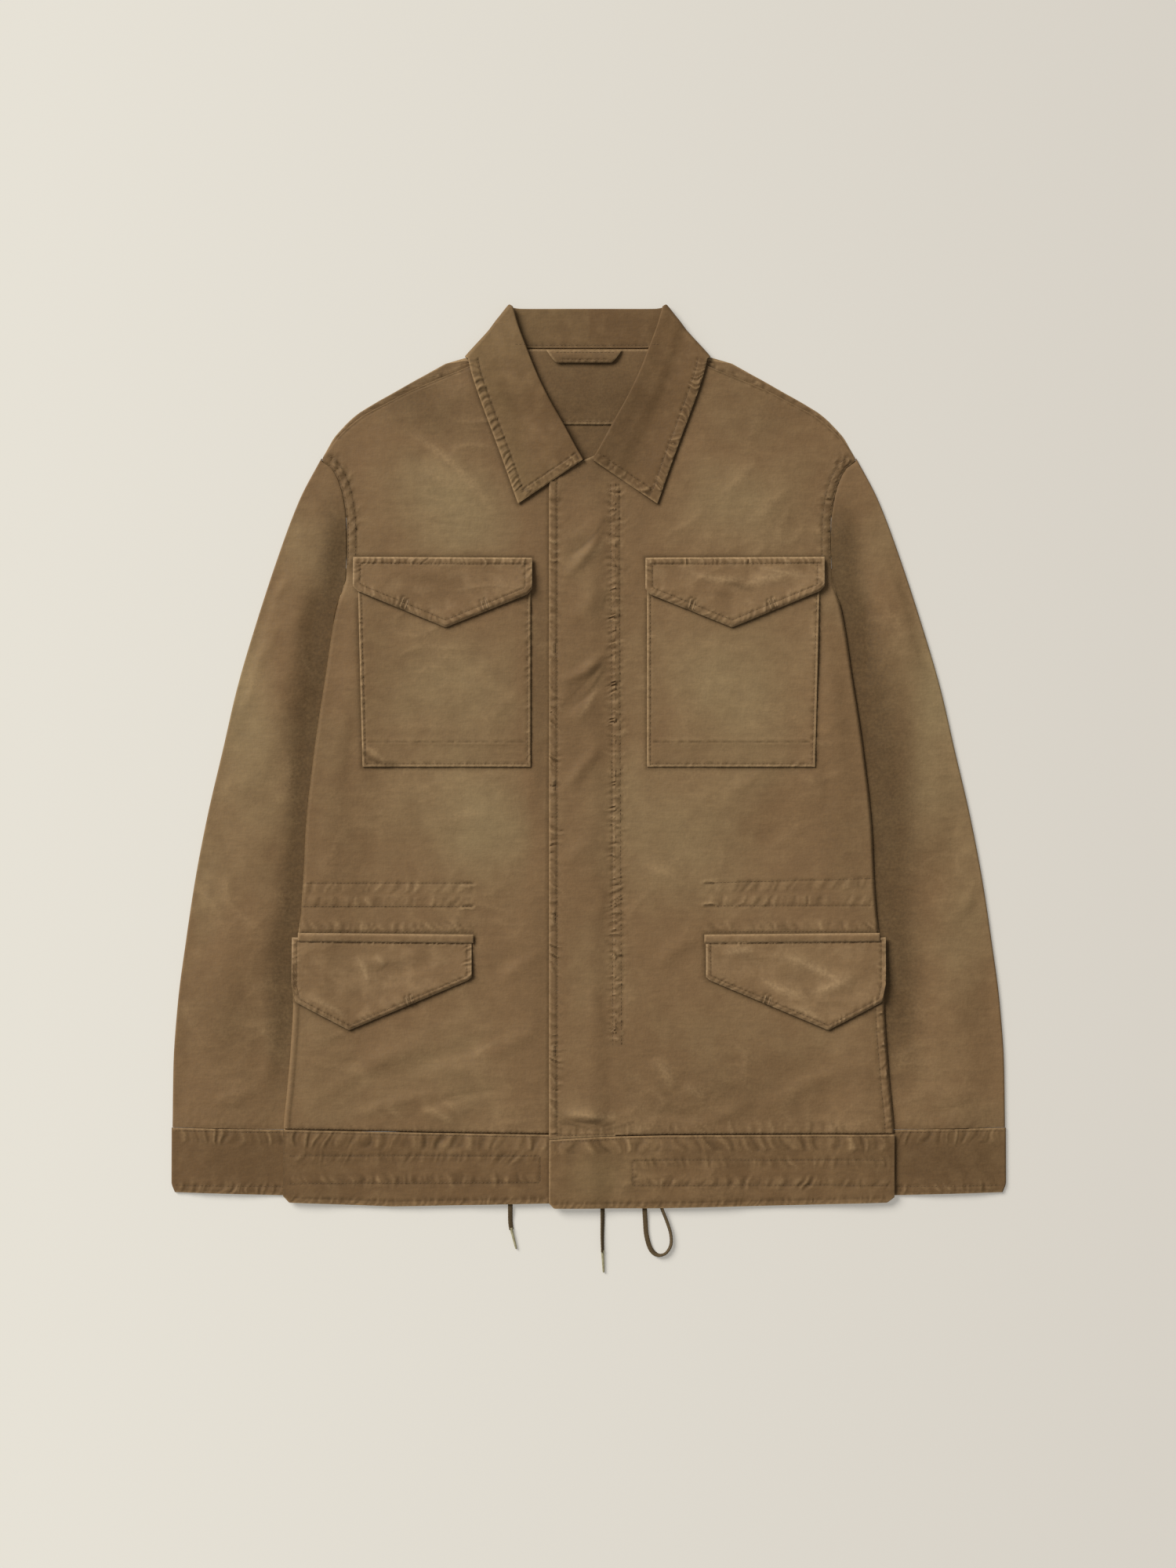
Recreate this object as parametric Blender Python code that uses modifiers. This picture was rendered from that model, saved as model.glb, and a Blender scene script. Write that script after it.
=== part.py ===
"""Field jacket laid flat on its back, with the wearer's right side at -X and the collar at +Y.

Sizes in the tables and constants are millimetres. The origin is on the surface, under the middle
of the jacket, and +Z points up. Each piece is a cloth wall on the panel below it. Tables that give
a reach hold distances from the middle, so that one row serves both sides. A pair of values used
with ease() is a ramp: the effect is absent at the first value and full at the second.
"""
from collections import namedtuple
from math import cos, exp, hypot, pi, radians, sin

import bmesh
import bpy
import numpy as np
from mathutils import Vector

MM = 0.001  # metres in a millimetre
WELD = 1e-6  # metres, between points of a closed grid that meet
SHARP_ANGLE = 50  # degrees: a wall's edges are sharper than this and its folds softer

# Cloth and clearances
WALL = 1.2  # one wall of cloth
SEAM_GAP = 0.4  # between pieces sewn edge to edge
LAY_GAP = 0.5  # between a piece and the panel that it lies on
LAYER = WALL + LAY_GAP

# Levels of the body
SLEEVE_LIFT = 3.5  # the body's side edges lie on the sleeves
LIFT_IN = (64, 14)  # ramp of that lift, by the distance in from the side edge
LIFT_DOWN = (165, 135)  # and by the height, below the underarm
COLLAR_LIFT = 2.0  # the back neck lies on the collar's fall
EDGE_GAP = 0.8  # between back and front along the side seams
BODY_PUFF = 1.7  # more room between back and front, away from the seams
PUFF_IN = (0, 60)
NECK_GAP = 2.3  # room for the neck facing
CORD_DIAMETER = 3.3
CORD_GAP = 0.3
CORD_SPACE = CORD_DIAMETER + 2 * CORD_GAP  # room for the drawcord at the hem
CORD_ACROSS = (150, 90)  # ramps of that room, by the distance from the middle
CORD_DOWN = (-335, -356)  # and by the height
# Ovals round the neck: what happens there fades out at a number of times the oval's size
Oval = namedtuple("Oval", "y half_width half_height fade")
FALL_OVAL = Oval(365, 125, 35, 1.9)  # the collar's fall, under the back
NECK_OVAL = Oval(325, 80, 60, 1.6)  # the neck opening

SIDES = (("right", -1), ("left", 1))  # the wearer's sides, and the sign of X on them

# Heights up the jacket, from the middle of its length
SHOULDER = 264
UNDERARM = 168
BACK_SEAM = -335
BACK_HEM = -397
BACK_ROWS = 40  # widest spacing of the back's rows
BACK_HALF = [0.4, 0.75, 0.82, 0.89, 0.95, 1]  # its columns on a side, as parts of its reach
FRONT_ROWS = 29  # widest spacing of a front's rows
FRONT_PARTS = [0, 0.05, 0.1, 0.15, 0.2, 0.25, 0.34, 0.45, 0.56, 0.67, 0.78, 0.89, 1]  # from its outer edge
HEM_ROWS = 3
HEM_CORNER = 5  # rise of the back hem's rounded corners
HEM_CORNER_ACROSS = (265, 272)

# Fly
FLY_EDGE = -35.5
FLY_SEAM = 23.8
UNDER_FRONT_EDGE = -4  # the right front's edge, under the fly
FLY_PUFF = 0.6
FLY_COLUMNS = 6
FLY_ROWS = 36
FLY_EDGE_PART = 0.3  # its sides are flat for this part of its width
FLY_STEP = (22, 0)  # ramp up over the right front's edge
FLY_LEFT = (-64, -40)  # ramp up over the fly's edge, for what lies on it
FLY_END = (305, 280)  # and over its top
COLLAR_FRONT = 225  # height of the collar's points
FLY_BELOW_COLLAR = (COLLAR_FRONT - 10, COLLAR_FRONT - 30)

# Sleeves and cuffs
SLEEVE_TUCK = 12  # how far a sleeve's inner fold lies under the body
TUCK_DOWN = (128, 70)  # ramp of that tuck, by the height
FOLD_RADIUS = 1.6  # at a sleeve's folded edges
FOLD_ANGLES = (45, 0, -45)
ARMHOLE_PART = 0.22  # part of a sleeve's length that still bows with the armhole
ARMHOLE_FLAT = (0, 0.12)  # ramp of its height, by that part
SLEEVE_PUFF = 2.7
SLEEVE_PUFF_INNER = (SLEEVE_TUCK + 3, SLEEVE_TUCK + 48)  # ramps by the distance from the inner fold
SLEEVE_FOLDS_INNER = (SLEEVE_TUCK + 2, SLEEVE_TUCK + 22)
SLEEVE_PUFF_OUTER = (0, 45)  # and from the outer fold
SLEEVE_FOLDS_OUTER = (0, 12)
SLEEVE_ROWS = 17
SLEEVE_CROWDING = 1.2  # power that brings the rows closer at the armhole
CUFF_PUFF = 1.8
CUFF_PUFF_INNER = (SLEEVE_TUCK + 3, SLEEVE_TUCK + 40)
CUFF_PUFF_OUTER = (0, 30)
CUFF_ROWS = 4
SHOULDER_CLEARANCE = Vector((1, -0.4))  # keeps a sleeve's fold clear of the shoulder's corner
CUFF_SEAM_OUTER = -331.5
CUFF_SEAM_INNER = -333.5
MOST_SLEEVE_HEIGHT = 6.2

# Hem drawcord
CORD_SIDES = 2  # the bevel resolution of its tube
CORD_STEP = 7.5
TIP_BASE_RADIUS = 1.5
TIP_END_RADIUS = 0.9
TIP_SIDES = 8

# Finishes: a colour, as linear red, green and blue, and a roughness
Finish = namedtuple("Finish", "colour roughness")
OLIVE_BROWN = Finish((0.215, 0.137, 0.075), 0.88)
DEEP_OLIVE = Finish((0.150, 0.093, 0.045), 0.88)
WASHED_OLIVE = Finish((0.240, 0.165, 0.088), 0.88)
CORD_BROWN = Finish((0.070, 0.045, 0.018), 0.8)
TIP_OLIVE = Finish((0.330, 0.300, 0.170), 0.5)

# The body's outline: reach of the back, and of the front, whose shoulder seam lies further in
Side = namedtuple("Side", "height back front")
BODY_SIDE = [
    Side(363, 84, 78),
    Side(357, 94, 86),
    Side(352.4, 98, 93),
    Side(351.4, 124, 98),
    Side(346, 134.5, 110),
    Side(336, 153.5, 135),
    Side(325, 173, 161),
    Side(314, 192.5, 182),
    Side(304, 208, 201),
    Side(293, 219.5, 215),
    Side(283, 228, 225),
    Side(273, 233.5, 232),
    Side(264, 238, 237.5),
    Side(257, 230, 230),
    Side(246, 223.5, 223.5),
    Side(229, 218.6, 218.6),
    Side(209, 216, 216),
    Side(189, 215.7, 215.7),
    Side(168, 216.4, 216.4),
    Side(158, 216.8, 216.8),
    Side(148, 219.5, 219.5),
    Side(129, 225.5, 225.5),
    Side(73, 234.5, 234.5),
    Side(3, 245, 245),
    Side(-67, 252.5, 252.5),
    Side(-116, 254.7, 254.7),
    Side(-158, 258.3, 258.3),
    Side(-200, 264, 264),
    Side(-217, 263.5, 263.5),
    Side(-284, 267.5, 267.5),
    Side(-335, 272, 272),
    Side(-392, 272.6, 272.6),
]
ARMHOLE = [row for row in BODY_SIDE if UNDERARM <= row.height <= SHOULDER]

# Inner edges of the two fronts: neckline, then fly
Edge = namedtuple("Edge", "height x")
RIGHT_FRONT_EDGE = [
    Edge(363, -66), Edge(334, -57), Edge(311, -46), Edge(288, -31), Edge(270, -17),
    Edge(264, UNDER_FRONT_EDGE), Edge(-400, UNDER_FRONT_EDGE),
]
LEFT_FRONT_EDGE = [
    Edge(363, 64), Edge(334, 55), Edge(311, 44), Edge(288, 29),
    Edge(279, FLY_SEAM + SEAM_GAP), Edge(-400, FLY_SEAM + SEAM_GAP),
]
# The hem band's top seam and its bottom edge, along X
Line = namedtuple("Line", "x y")
RIGHT_SEAM = [Line(-272, -333), Line(-160, -335.5), Line(-4, -338)]
LEFT_SEAM = [Line(-35.5, -342), Line(6, -339.4), Line(70, -338), Line(272, -337.2)]
RIGHT_HEM = [
    Line(-272.6, -392), Line(-267, -398), Line(-175, -401.5), Line(-35, -398.8), Line(-4, -398.8),
]
LEFT_HEM = [
    Line(-35.5, -398.5), Line(-31, -403.2), Line(66, -403), Line(175, -400.5), Line(266, -398),
    Line(272.6, -393),
]
RIGHT_BAND_STATIONS = [
    -272.4, -267, -258, -246, -233, -220, -208, -175, -150, -120, -90, -75, -62, -35, -4,
]
LEFT_BAND_STATIONS = [
    -35.5, -31, -4, 12, 23, 48, 70, 90, 120, 150, 175, 208, 220, 233, 246, 258, 266, 272.4,
]
FLY_TOP = [Line(-35.5, 250), Line(-4, 264), Line(23.8, 276)]

# A sleeve's outer edge and a cuff's
Reach = namedtuple("Reach", "height reach")
SLEEVE_EDGE = [
    Reach(264, 238.5), Reach(227, 258), Reach(171, 279.6), Reach(115, 298), Reach(59, 314.3),
    Reach(3, 327.2), Reach(-53, 340.2), Reach(-109, 351), Reach(-165, 359.5), Reach(-221, 366.8),
    Reach(-277, 370.7), Reach(-332, 371.5),
]
CUFF_EDGE = [Reach(-331, 372.2), Reach(-380, 372.4), Reach(-389, 369.5)]
CUFF_BOTTOM_OUTER = -389
CUFF_BOTTOM_INNER = -392
# Where a sleeve's ring has its points, as parts of its width from outer to inner edge
ACROSS_SLEEVE = [0, 0.1, 0.27, 0.45, 0.65, 0.85, 1]

# Soft folds: a ridge or a trough between two points
Fold = namedtuple("Fold", "start_x start_y end_x end_y height width")
FRONT_FOLDS_IN = (5, 35)  # ramp by the distance in from the side edge
FRONT_FOLDS = [
    Fold(-205, 262, -95, 188, 1.0, 20),
    Fold(-215, 130, -205, -20, 0.8, 20),
    Fold(-170, -25, -50, -75, 1.1, 24),
    Fold(-225, -60, -120, -105, -0.9, 22),
    Fold(-190, -262, -50, -312, 1.0, 22),
    Fold(60, 280, 180, 200, 1.0, 22),
    Fold(215, 120, 208, -30, 0.9, 20),
    Fold(45, -55, 170, -30, 1.1, 24),
    Fold(110, -95, 230, -60, -0.9, 22),
    Fold(60, -305, 220, -262, 1.0, 22),
]
FLY_FOLDS = [
    Fold(22, 226, -20, 158, 1.5, 11),
    Fold(24, 96, -20, 74, 1.4, 10),
    Fold(18, 76, -22, 42, -1.0, 10),
    Fold(16, 12, -18, -26, 1.2, 11),
    Fold(-26, -326, 36, -330, 1.1, 11),
]
SLEEVE_FOLDS = [
    Fold(230, 222, 248, 66, -1.7, 15),
    Fold(256, 215, 288, 30, 1.0, 24),
    Fold(262, 10, 300, -70, -1.1, 20),
    Fold(340, -60, 296, -150, -1.2, 18),
    Fold(350, -170, 300, -262, 1.0, 20),
    Fold(284, -180, 330, -300, -0.9, 18),
]

# The collar's half, from its front end to the centre back. The turn is how far the cloth has
# gone round the side of the neck: 0 on the fronts, 180 under the back.
Section = namedtuple("Section", "roll_x roll_y edge_x edge_y neck_x neck_y turn")
COLLAR = [
    Section(5, 263.5, 62, COLLAR_FRONT, 12, 263, 0),
    Section(10, 272, 65, 233, 24, 267, 0),
    Section(23.5, 297, 73, 256, 37, 289, 0),
    Section(36.5, 320, 81, 278, 51, 312, 0),
    Section(47, 342, 90, 302, 62, 335, 0),
    Section(55, 362, 98, 324, 71, 357, 0),
    Section(63.5, 385, 104, 343, 76, 371, 0),
    Section(67.5, 399.6, 106.5, 354, 78, 379, 0),
    Section(67.5, 399.6, 106.5, 354, 78, 379, 45),
    Section(67.5, 399.6, 106.5, 354, 78, 379, 90),
    Section(67.5, 399.6, 106.5, 354, 78, 379, 135),
    Section(67.5, 399.6, 106.5, 354, 78, 379, 180),
    Section(60, 398.4, 94, 346, 68, 366, 180),
    Section(42, 398.2, 64, 341, 46, 364.3, 180),
    Section(21, 398.2, 32, 339, 23, 364.3, 180),
    Section(0, 398.2, 0, 338, 0, 364.3, 180),
]
COLLAR_CENTRE = -1
COLLAR_OUTWARD = (0.786, 0.618)  # square to the side of the neck, in plan
COLLAR_PLUMP = 1.0  # the roll line stands this much higher than the leaf
PLUMP_ACROSS = (0.27, 0)  # ramp by the part of the way from the roll to the leaf's edge
OVER_STAND = (0.5, 0.25)  # and where the leaf lies on the stand
STAND_PARTS = [1, 0.5, 0]  # from the neck seam to the roll
ROLL_ANGLES = [135, 90, 45]
LEAF_PARTS = [0, 0.12, 0.27, 0.42, 0.6, 0.8, 1]  # from the roll to the leaf's edge

# Patch pockets, flaps and welts: a line for each station from the middle outwards
Strip = namedtuple("Strip", "reach top bottom")
CHEST_POCKET = [Strip(52, 172, -9.5), Strip(206, 172, -9.5)]
CHEST_POCKET_TAPER = 4.5
CHEST_POCKET_GRID = (8, 9)  # columns and rows
POCKET_GAP = 0.2
POCKET_PUFF = 0.8
PUFF_SIDE_PART = 0.25  # a pocket is flat at its sides for this part of its width
PUFF_BOTTOM_PART = 0.2  # and at its bottom for this part of its height
CHEST_FLAP = [
    Strip(50.5, 176.5, 149), Strip(54.5, 176.6, 144), Strip(127.5, 177, 114.5),
    Strip(206, 177.5, 147), Strip(210, 177.5, 151.5),
]
CHEST_FLAP_GRID = (10, 4)
LOWER_FLAP = [
    Strip(104.5, -164, -197), Strip(108, -163.9, -200), Strip(213.5, -162.5, -244.3),
    Strip(261.5, -161.5, -219), Strip(264.5, -161.5, -204),
]
LOWER_FLAP_GRID = (11, 5)
WELT = [Strip(103, -159, -166.5), Strip(259, -157.5, -165)]
WELT_GRID = (12, 1)

FACING_TOP = 362.6
FACING_BOTTOM = 296
FACING_TOP_HALF = 60
FACING_BOTTOM_HALF = 36
FACING_GRID = (8, 5)
LOOP_TOP = 361.8
LOOP_BOTTOM = 350.4
LOOP_MIDDLE = -4.2
LOOP_TOP_HALF = 33.6
LOOP_BOTTOM_HALF = 24
LOOP_GRID = (6, 1)

# Routes of the drawcord's three stretches, from inside the hem
INSIDE = WALL + CORD_GAP + CORD_DIAMETER / 2  # height of its middle, on the back hem band
ON_SURFACE = CORD_DIAMETER / 2
SHORT_END = [
    (-69.6, -374, INSIDE), (-70, -386, INSIDE), (-70, -399, INSIDE), (-70, -412, ON_SURFACE),
    (-69.8, -417, ON_SURFACE), (-69, -422.5, ON_SURFACE),
]
SHORT_TIP = (-64.6, -440)
LONG_END = [
    (12.6, -374, INSIDE), (12.3, -387, INSIDE), (12.3, -400, INSIDE), (12.3, -414, ON_SURFACE),
    (12.1, -429, ON_SURFACE), (12.4, -442.5, ON_SURFACE),
]
LONG_TIP = (13.3, -461)
LOOP_CORD = [
    (48.6, -376, INSIDE), (49.2, -388, INSIDE), (49.7, -400, INSIDE), (50.4, -414, ON_SURFACE),
    (51.6, -428, ON_SURFACE), (55.4, -440, ON_SURFACE), (61.6, -445.2, ON_SURFACE),
    (68.6, -443.6, ON_SURFACE), (73.2, -436, ON_SURFACE), (73, -426, ON_SURFACE),
    (69.6, -415, ON_SURFACE), (65, -403, INSIDE), (61.4, -390, INSIDE), (58.6, -377, INSIDE),
]


def ease(value, start, end):
    """Go smoothly from 0 at start to 1 at end, and stay there."""
    part = min(1.0, max(0.0, (value - start) / (end - start)))
    return part * part * (3 - 2 * part)


def mix(first, second, part):
    """The value that part of the way from first to second."""
    return first + (second - first) * part


def read(table, key, column, value):
    """Read a column where the key column has a value, between the rows."""
    rows = sorted((getattr(row, key), getattr(row, column)) for row in table)
    keys, values = zip(*rows)
    return float(np.interp(value, keys, values))


def fold_height(folds, x, y):
    """Height of all the ridges and troughs of a table at a point."""
    total = 0.0
    for fold in folds:
        run = Vector((fold.end_x - fold.start_x, fold.end_y - fold.start_y))
        offset = Vector((x - fold.start_x, y - fold.start_y))
        part = offset.dot(run) / run.length_squared
        if 0 < part < 1:
            across = (offset - run * part).length
            total += fold.height * sin(pi * part) * exp(-((across / fold.width) ** 2))
    return total


def within(oval, x, y):
    """1 inside an oval, and smoothly down to 0 where it fades out."""
    return ease(hypot(x / oval.half_width, (y - oval.y) / oval.half_height), oval.fade, 1)


def rest(x, y):
    """Height of the back's underside: on the surface, a sleeve's edge or the collar's fall."""
    side = read(BODY_SIDE, "height", "back", y) - abs(x)
    on_sleeve = ease(y, *LIFT_DOWN) * ease(side, *LIFT_IN)
    return SLEEVE_LIFT * on_sleeve + COLLAR_LIFT * within(FALL_OVAL, x, y)


def front_rest(x, y):
    """Height of a front's underside above the surface."""
    side = read(BODY_SIDE, "height", "front", y) - abs(x)
    gap = EDGE_GAP + BODY_PUFF * ease(side, *PUFF_IN)
    gap += fold_height(FRONT_FOLDS, x, y) * ease(side, *FRONT_FOLDS_IN)
    gap = mix(gap, max(gap, NECK_GAP), within(NECK_OVAL, x, y))
    gap = mix(gap, CORD_SPACE, ease(abs(x), *CORD_ACROSS) * ease(y, *CORD_DOWN))
    return rest(x, y) + WALL + min(gap, CORD_SPACE)


def fly_rest(x, y):
    """Height of the fly's underside, which steps up over the right front's edge."""
    return front_rest(x, y) + LAYER * ease(x, *FLY_STEP)


def cover(x, y):
    """Height of the top of the fronts and fly, for what lies on them."""
    on_fly = ease(x, *FLY_STEP) * ease(x, *FLY_LEFT) * ease(y, *FLY_END)
    return front_rest(x, y) + WALL + LAYER * on_fly


def stations(heights, spacing):
    """The heights of a table, with more between them where they are far apart."""
    result = []
    for high, low in zip(heights, heights[1:]):
        count = max(1, round((high - low) / spacing))
        result += [mix(high, low, step / count) for step in range(count)]
    return result + [heights[-1]]


def new_material(name, finish):
    """A plain Principled material."""
    material = bpy.data.materials.new(name)
    material.use_nodes = True
    shader = material.node_tree.nodes["Principled BSDF"]
    shader.inputs["Base Color"].default_value = (*finish.colour, 1)
    shader.inputs["Roughness"].default_value = finish.roughness
    shader.inputs["Metallic"].default_value = 0
    return material


def add_piece(name, mesh, finish):
    """Put a mesh or curve into the jacket's collection, with its material."""
    piece = bpy.data.objects.new(name, mesh)
    mesh.materials.append(new_material(name, finish))
    jacket.objects.link(piece)
    return piece


def add_cloth(name, columns, rows, place, finish, closed=False, inward=False, middle=False):
    """A grid that place(u, v) lays out, thickened to a cloth wall.

    A closed grid meets itself at u = 0 and 1, as a tube. An inward wall grows from its outside,
    a middle one both ways, and any other upwards from its underside.
    """
    grid = bmesh.new()
    bmesh.ops.create_grid(grid, x_segments=columns, y_segments=rows, size=0.5)
    for vertex in grid.verts:
        vertex.co = Vector(place(vertex.co.x + 0.5, vertex.co.y + 0.5)) * MM
    if closed:
        bmesh.ops.remove_doubles(grid, verts=grid.verts, dist=WELD)
    grid.normal_update()
    highest = max(grid.faces, key=lambda face: face.calc_center_median().z)
    if highest.normal.z < 0:
        bmesh.ops.reverse_faces(grid, faces=grid.faces)
    mesh = bpy.data.meshes.new(name)
    grid.to_mesh(mesh)
    grid.free()
    mesh.shade_smooth()
    mesh.set_sharp_from_angle(angle=radians(SHARP_ANGLE))
    piece = add_piece(name, mesh, finish)
    wall = piece.modifiers.new("Wall", "SOLIDIFY")
    wall.thickness = WALL * MM
    wall.offset = 0 if middle else -1 if inward else 1
    return piece


def add_back():
    """The back panel, and the back of the hem band."""
    heights = stations([row.height for row in BODY_SIDE if row.height >= BACK_SEAM], BACK_ROWS)
    parts = [-part for part in reversed(BACK_HALF)] + [0] + BACK_HALF

    def place_back(u, v):
        y = heights[round((1 - v) * (len(heights) - 1))]
        x = parts[round(u * (len(parts) - 1))] * read(BODY_SIDE, "height", "back", y)
        return x, y, rest(x, y)

    def place_hem(u, v):
        y = mix(BACK_HEM, BACK_SEAM - SEAM_GAP, v)
        x = parts[round(u * (len(parts) - 1))] * read(BODY_SIDE, "height", "back", y)
        if v == 0:
            y += HEM_CORNER * ease(abs(x), *HEM_CORNER_ACROSS)
        return x, y, rest(x, y)

    add_cloth("back", len(parts) - 1, len(heights) - 1, place_back, OLIVE_BROWN)
    add_cloth("back_hem_band", len(parts) - 1, HEM_ROWS, place_hem, DEEP_OLIVE)


def add_front(name, side, edge, seam):
    """A front, from its neckline and shoulder to the hem band's seam."""
    heights = stations([row.height for row in BODY_SIDE if row.height >= BACK_SEAM], FRONT_ROWS)
    columns = len(FRONT_PARTS) - 1

    def place(u, v):
        y = heights[round((1 - v) * (len(heights) - 1))]
        outer = side * read(BODY_SIDE, "height", "front", y)
        x = mix(outer, read(edge, "height", "x", y), FRONT_PARTS[round(u * columns)])
        if v == 0:
            y = read(seam, "x", "y", x)
        return x, y, front_rest(x, y)

    add_cloth(name, columns, len(heights) - 1, place, OLIVE_BROWN)


def add_hem_band(name, across, seam, hem):
    """One front's part of the hem band."""

    def place(u, v):
        x = across[round(u * (len(across) - 1))]
        y = mix(read(hem, "x", "y", x), read(seam, "x", "y", x) - SEAM_GAP, v)
        level = fly_rest(x, y) if seam is LEFT_SEAM else front_rest(x, y)
        return x, y, level

    add_cloth(name, len(across) - 1, HEM_ROWS, place, DEEP_OLIVE)


def add_hem_bands():
    """The right and left fronts' hem bands."""
    add_hem_band("right_hem_band", RIGHT_BAND_STATIONS, RIGHT_SEAM, RIGHT_HEM)
    add_hem_band("left_hem_band", LEFT_BAND_STATIONS, LEFT_SEAM, LEFT_HEM)


def add_fly():
    """The fly: a strip down the left front's edge that laps over the right front."""

    def place(u, v):
        x = mix(FLY_EDGE, FLY_SEAM, u)
        y = mix(read(LEFT_SEAM, "x", "y", x), read(FLY_TOP, "x", "y", x), v)
        free = ease(u, 0, FLY_EDGE_PART) * ease(1 - u, 0, FLY_EDGE_PART) * ease(y, *FLY_BELOW_COLLAR)
        return x, y, fly_rest(x, y) + max(0, FLY_PUFF + fold_height(FLY_FOLDS, x, y)) * free

    add_cloth("fly_placket", FLY_COLUMNS, FLY_ROWS, place, OLIVE_BROWN)


def flat_ring(points, heights, bulge):
    """Points round a flattened tube: its top, one fold, its flat underside, the other fold.

    points are in plan, from the outer fold to the inner one, and heights are the tube's there.
    """
    direction = (points[-1] - points[0]).normalized()
    ring = [(*point, height) for point, height in zip(points, heights)]
    underside = [(*point, 0) for point in reversed(points)]
    for end, turn in ((-1, 1), (0, -1)):
        height = heights[end]
        for angle in FOLD_ANGLES:
            rise = angle * turn
            out = points[end] + direction * turn * bulge * cos(radians(rise))
            ring.append((*out, height / 2 * (1 + sin(radians(rise)))))
        if end == -1:
            ring += underside
    return ring


def inner_reach(y):
    """Reach of a sleeve's inner fold: beside the body at the underarm, then under its edge."""
    tucked = ease(y, *TUCK_DOWN)
    return read(BODY_SIDE, "height", "back", y) + SEAM_GAP * (1 - tucked) - SLEEVE_TUCK * tucked


def sleeve_ring(part):
    """The ring of a sleeve that part of the way from the armhole to the cuff."""
    outer_y = mix(SHOULDER, CUFF_SEAM_OUTER, part)
    inner_y = mix(UNDERARM, CUFF_SEAM_INNER, part)
    outer = Vector((read(SLEEVE_EDGE, "height", "reach", outer_y) - FOLD_RADIUS, outer_y))
    inner = Vector((inner_reach(inner_y) + FOLD_RADIUS, inner_y))
    first_outer = Vector((SLEEVE_EDGE[0].reach - FOLD_RADIUS, SHOULDER))
    first_inner = Vector((inner_reach(UNDERARM) + FOLD_RADIUS, UNDERARM))
    at_armhole = 1 - ease(part, 0, ARMHOLE_PART)
    points = []
    heights = []
    for seam, later in zip(ARMHOLE, ACROSS_SLEEVE):
        along = (SHOULDER - seam.height) / (SHOULDER - UNDERARM)
        bow = Vector((seam.back + SEAM_GAP, seam.height)) - first_outer.lerp(first_inner, along)
        bow *= at_armhole if along < 1 else 0
        if along == 0:
            bow += SHOULDER_CLEARANCE * at_armhole
        across = mix(later, along, at_armhole)
        point = outer.lerp(inner, across) + bow
        points.append(point)
        from_inner = (point - inner).length
        from_outer = (point - outer).length
        puff = SLEEVE_PUFF * ease(from_inner, *SLEEVE_PUFF_INNER) * ease(from_outer, *SLEEVE_PUFF_OUTER)
        puff += fold_height(SLEEVE_FOLDS, point.x, point.y) * ease(from_inner, *SLEEVE_FOLDS_INNER)
        puff *= ease(part, *ARMHOLE_FLAT) * ease(from_outer, *SLEEVE_FOLDS_OUTER)
        height = 2 * FOLD_RADIUS + max(0, puff)
        heights.append(min(MOST_SLEEVE_HEIGHT, height))
    return flat_ring(points, heights, FOLD_RADIUS)


def cuff_ring(part):
    """The ring of a cuff that part of the way from its seam to its end."""
    outer_y = mix(CUFF_SEAM_OUTER - SEAM_GAP, CUFF_BOTTOM_OUTER, part)
    inner_y = mix(CUFF_SEAM_INNER - SEAM_GAP, CUFF_BOTTOM_INNER, part)
    outer = Vector((read(CUFF_EDGE, "height", "reach", outer_y) - FOLD_RADIUS, outer_y))
    inner = Vector((inner_reach(inner_y) + FOLD_RADIUS, inner_y))
    points = [outer.lerp(inner, across) for across in ACROSS_SLEEVE]
    heights = []
    for point in points:
        from_inner = (point - inner).length
        from_outer = (point - outer).length
        puff = CUFF_PUFF * ease(from_inner, *CUFF_PUFF_INNER) * ease(from_outer, *CUFF_PUFF_OUTER)
        heights.append(2 * FOLD_RADIUS + puff)
    return flat_ring(points, heights, FOLD_RADIUS)


def add_tube(name, side, rows, ring_at, finish):
    """A flattened tube through rings, open at both ends."""
    around = len(ring_at(0))

    def place(u, v):
        ring = ring_at(1 - v)
        reach, y, z = ring[round(u * around) % around]
        return side * reach, y, z

    add_cloth(name, around, rows, place, finish, closed=True, inward=True)


def add_sleeves():
    """Both sleeves and their cuffs."""

    def crowded_ring(part):
        return sleeve_ring(part**SLEEVE_CROWDING)

    for name, side in SIDES:
        add_tube(name + "_sleeve", side, SLEEVE_ROWS, crowded_ring, OLIVE_BROWN)
        add_tube(name + "_cuff", side, CUFF_ROWS, cuff_ring, DEEP_OLIVE)


def collar_sheet(section, target, part, in_front, behind):
    """A point of the collar's stand or leaf, gone round the side of the neck by its turn."""
    x = mix(section.roll_x, target[0], part)
    y = mix(section.roll_y, target[1], part)
    high = in_front(x, y)
    low = behind(x, y)
    half = (high - low) / 2
    out = half * sin(radians(section.turn))
    z = (high + low) / 2 + half * cos(radians(section.turn))
    return Vector((x + COLLAR_OUTWARD[0] * out, y + COLLAR_OUTWARD[1] * out, z))


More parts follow.
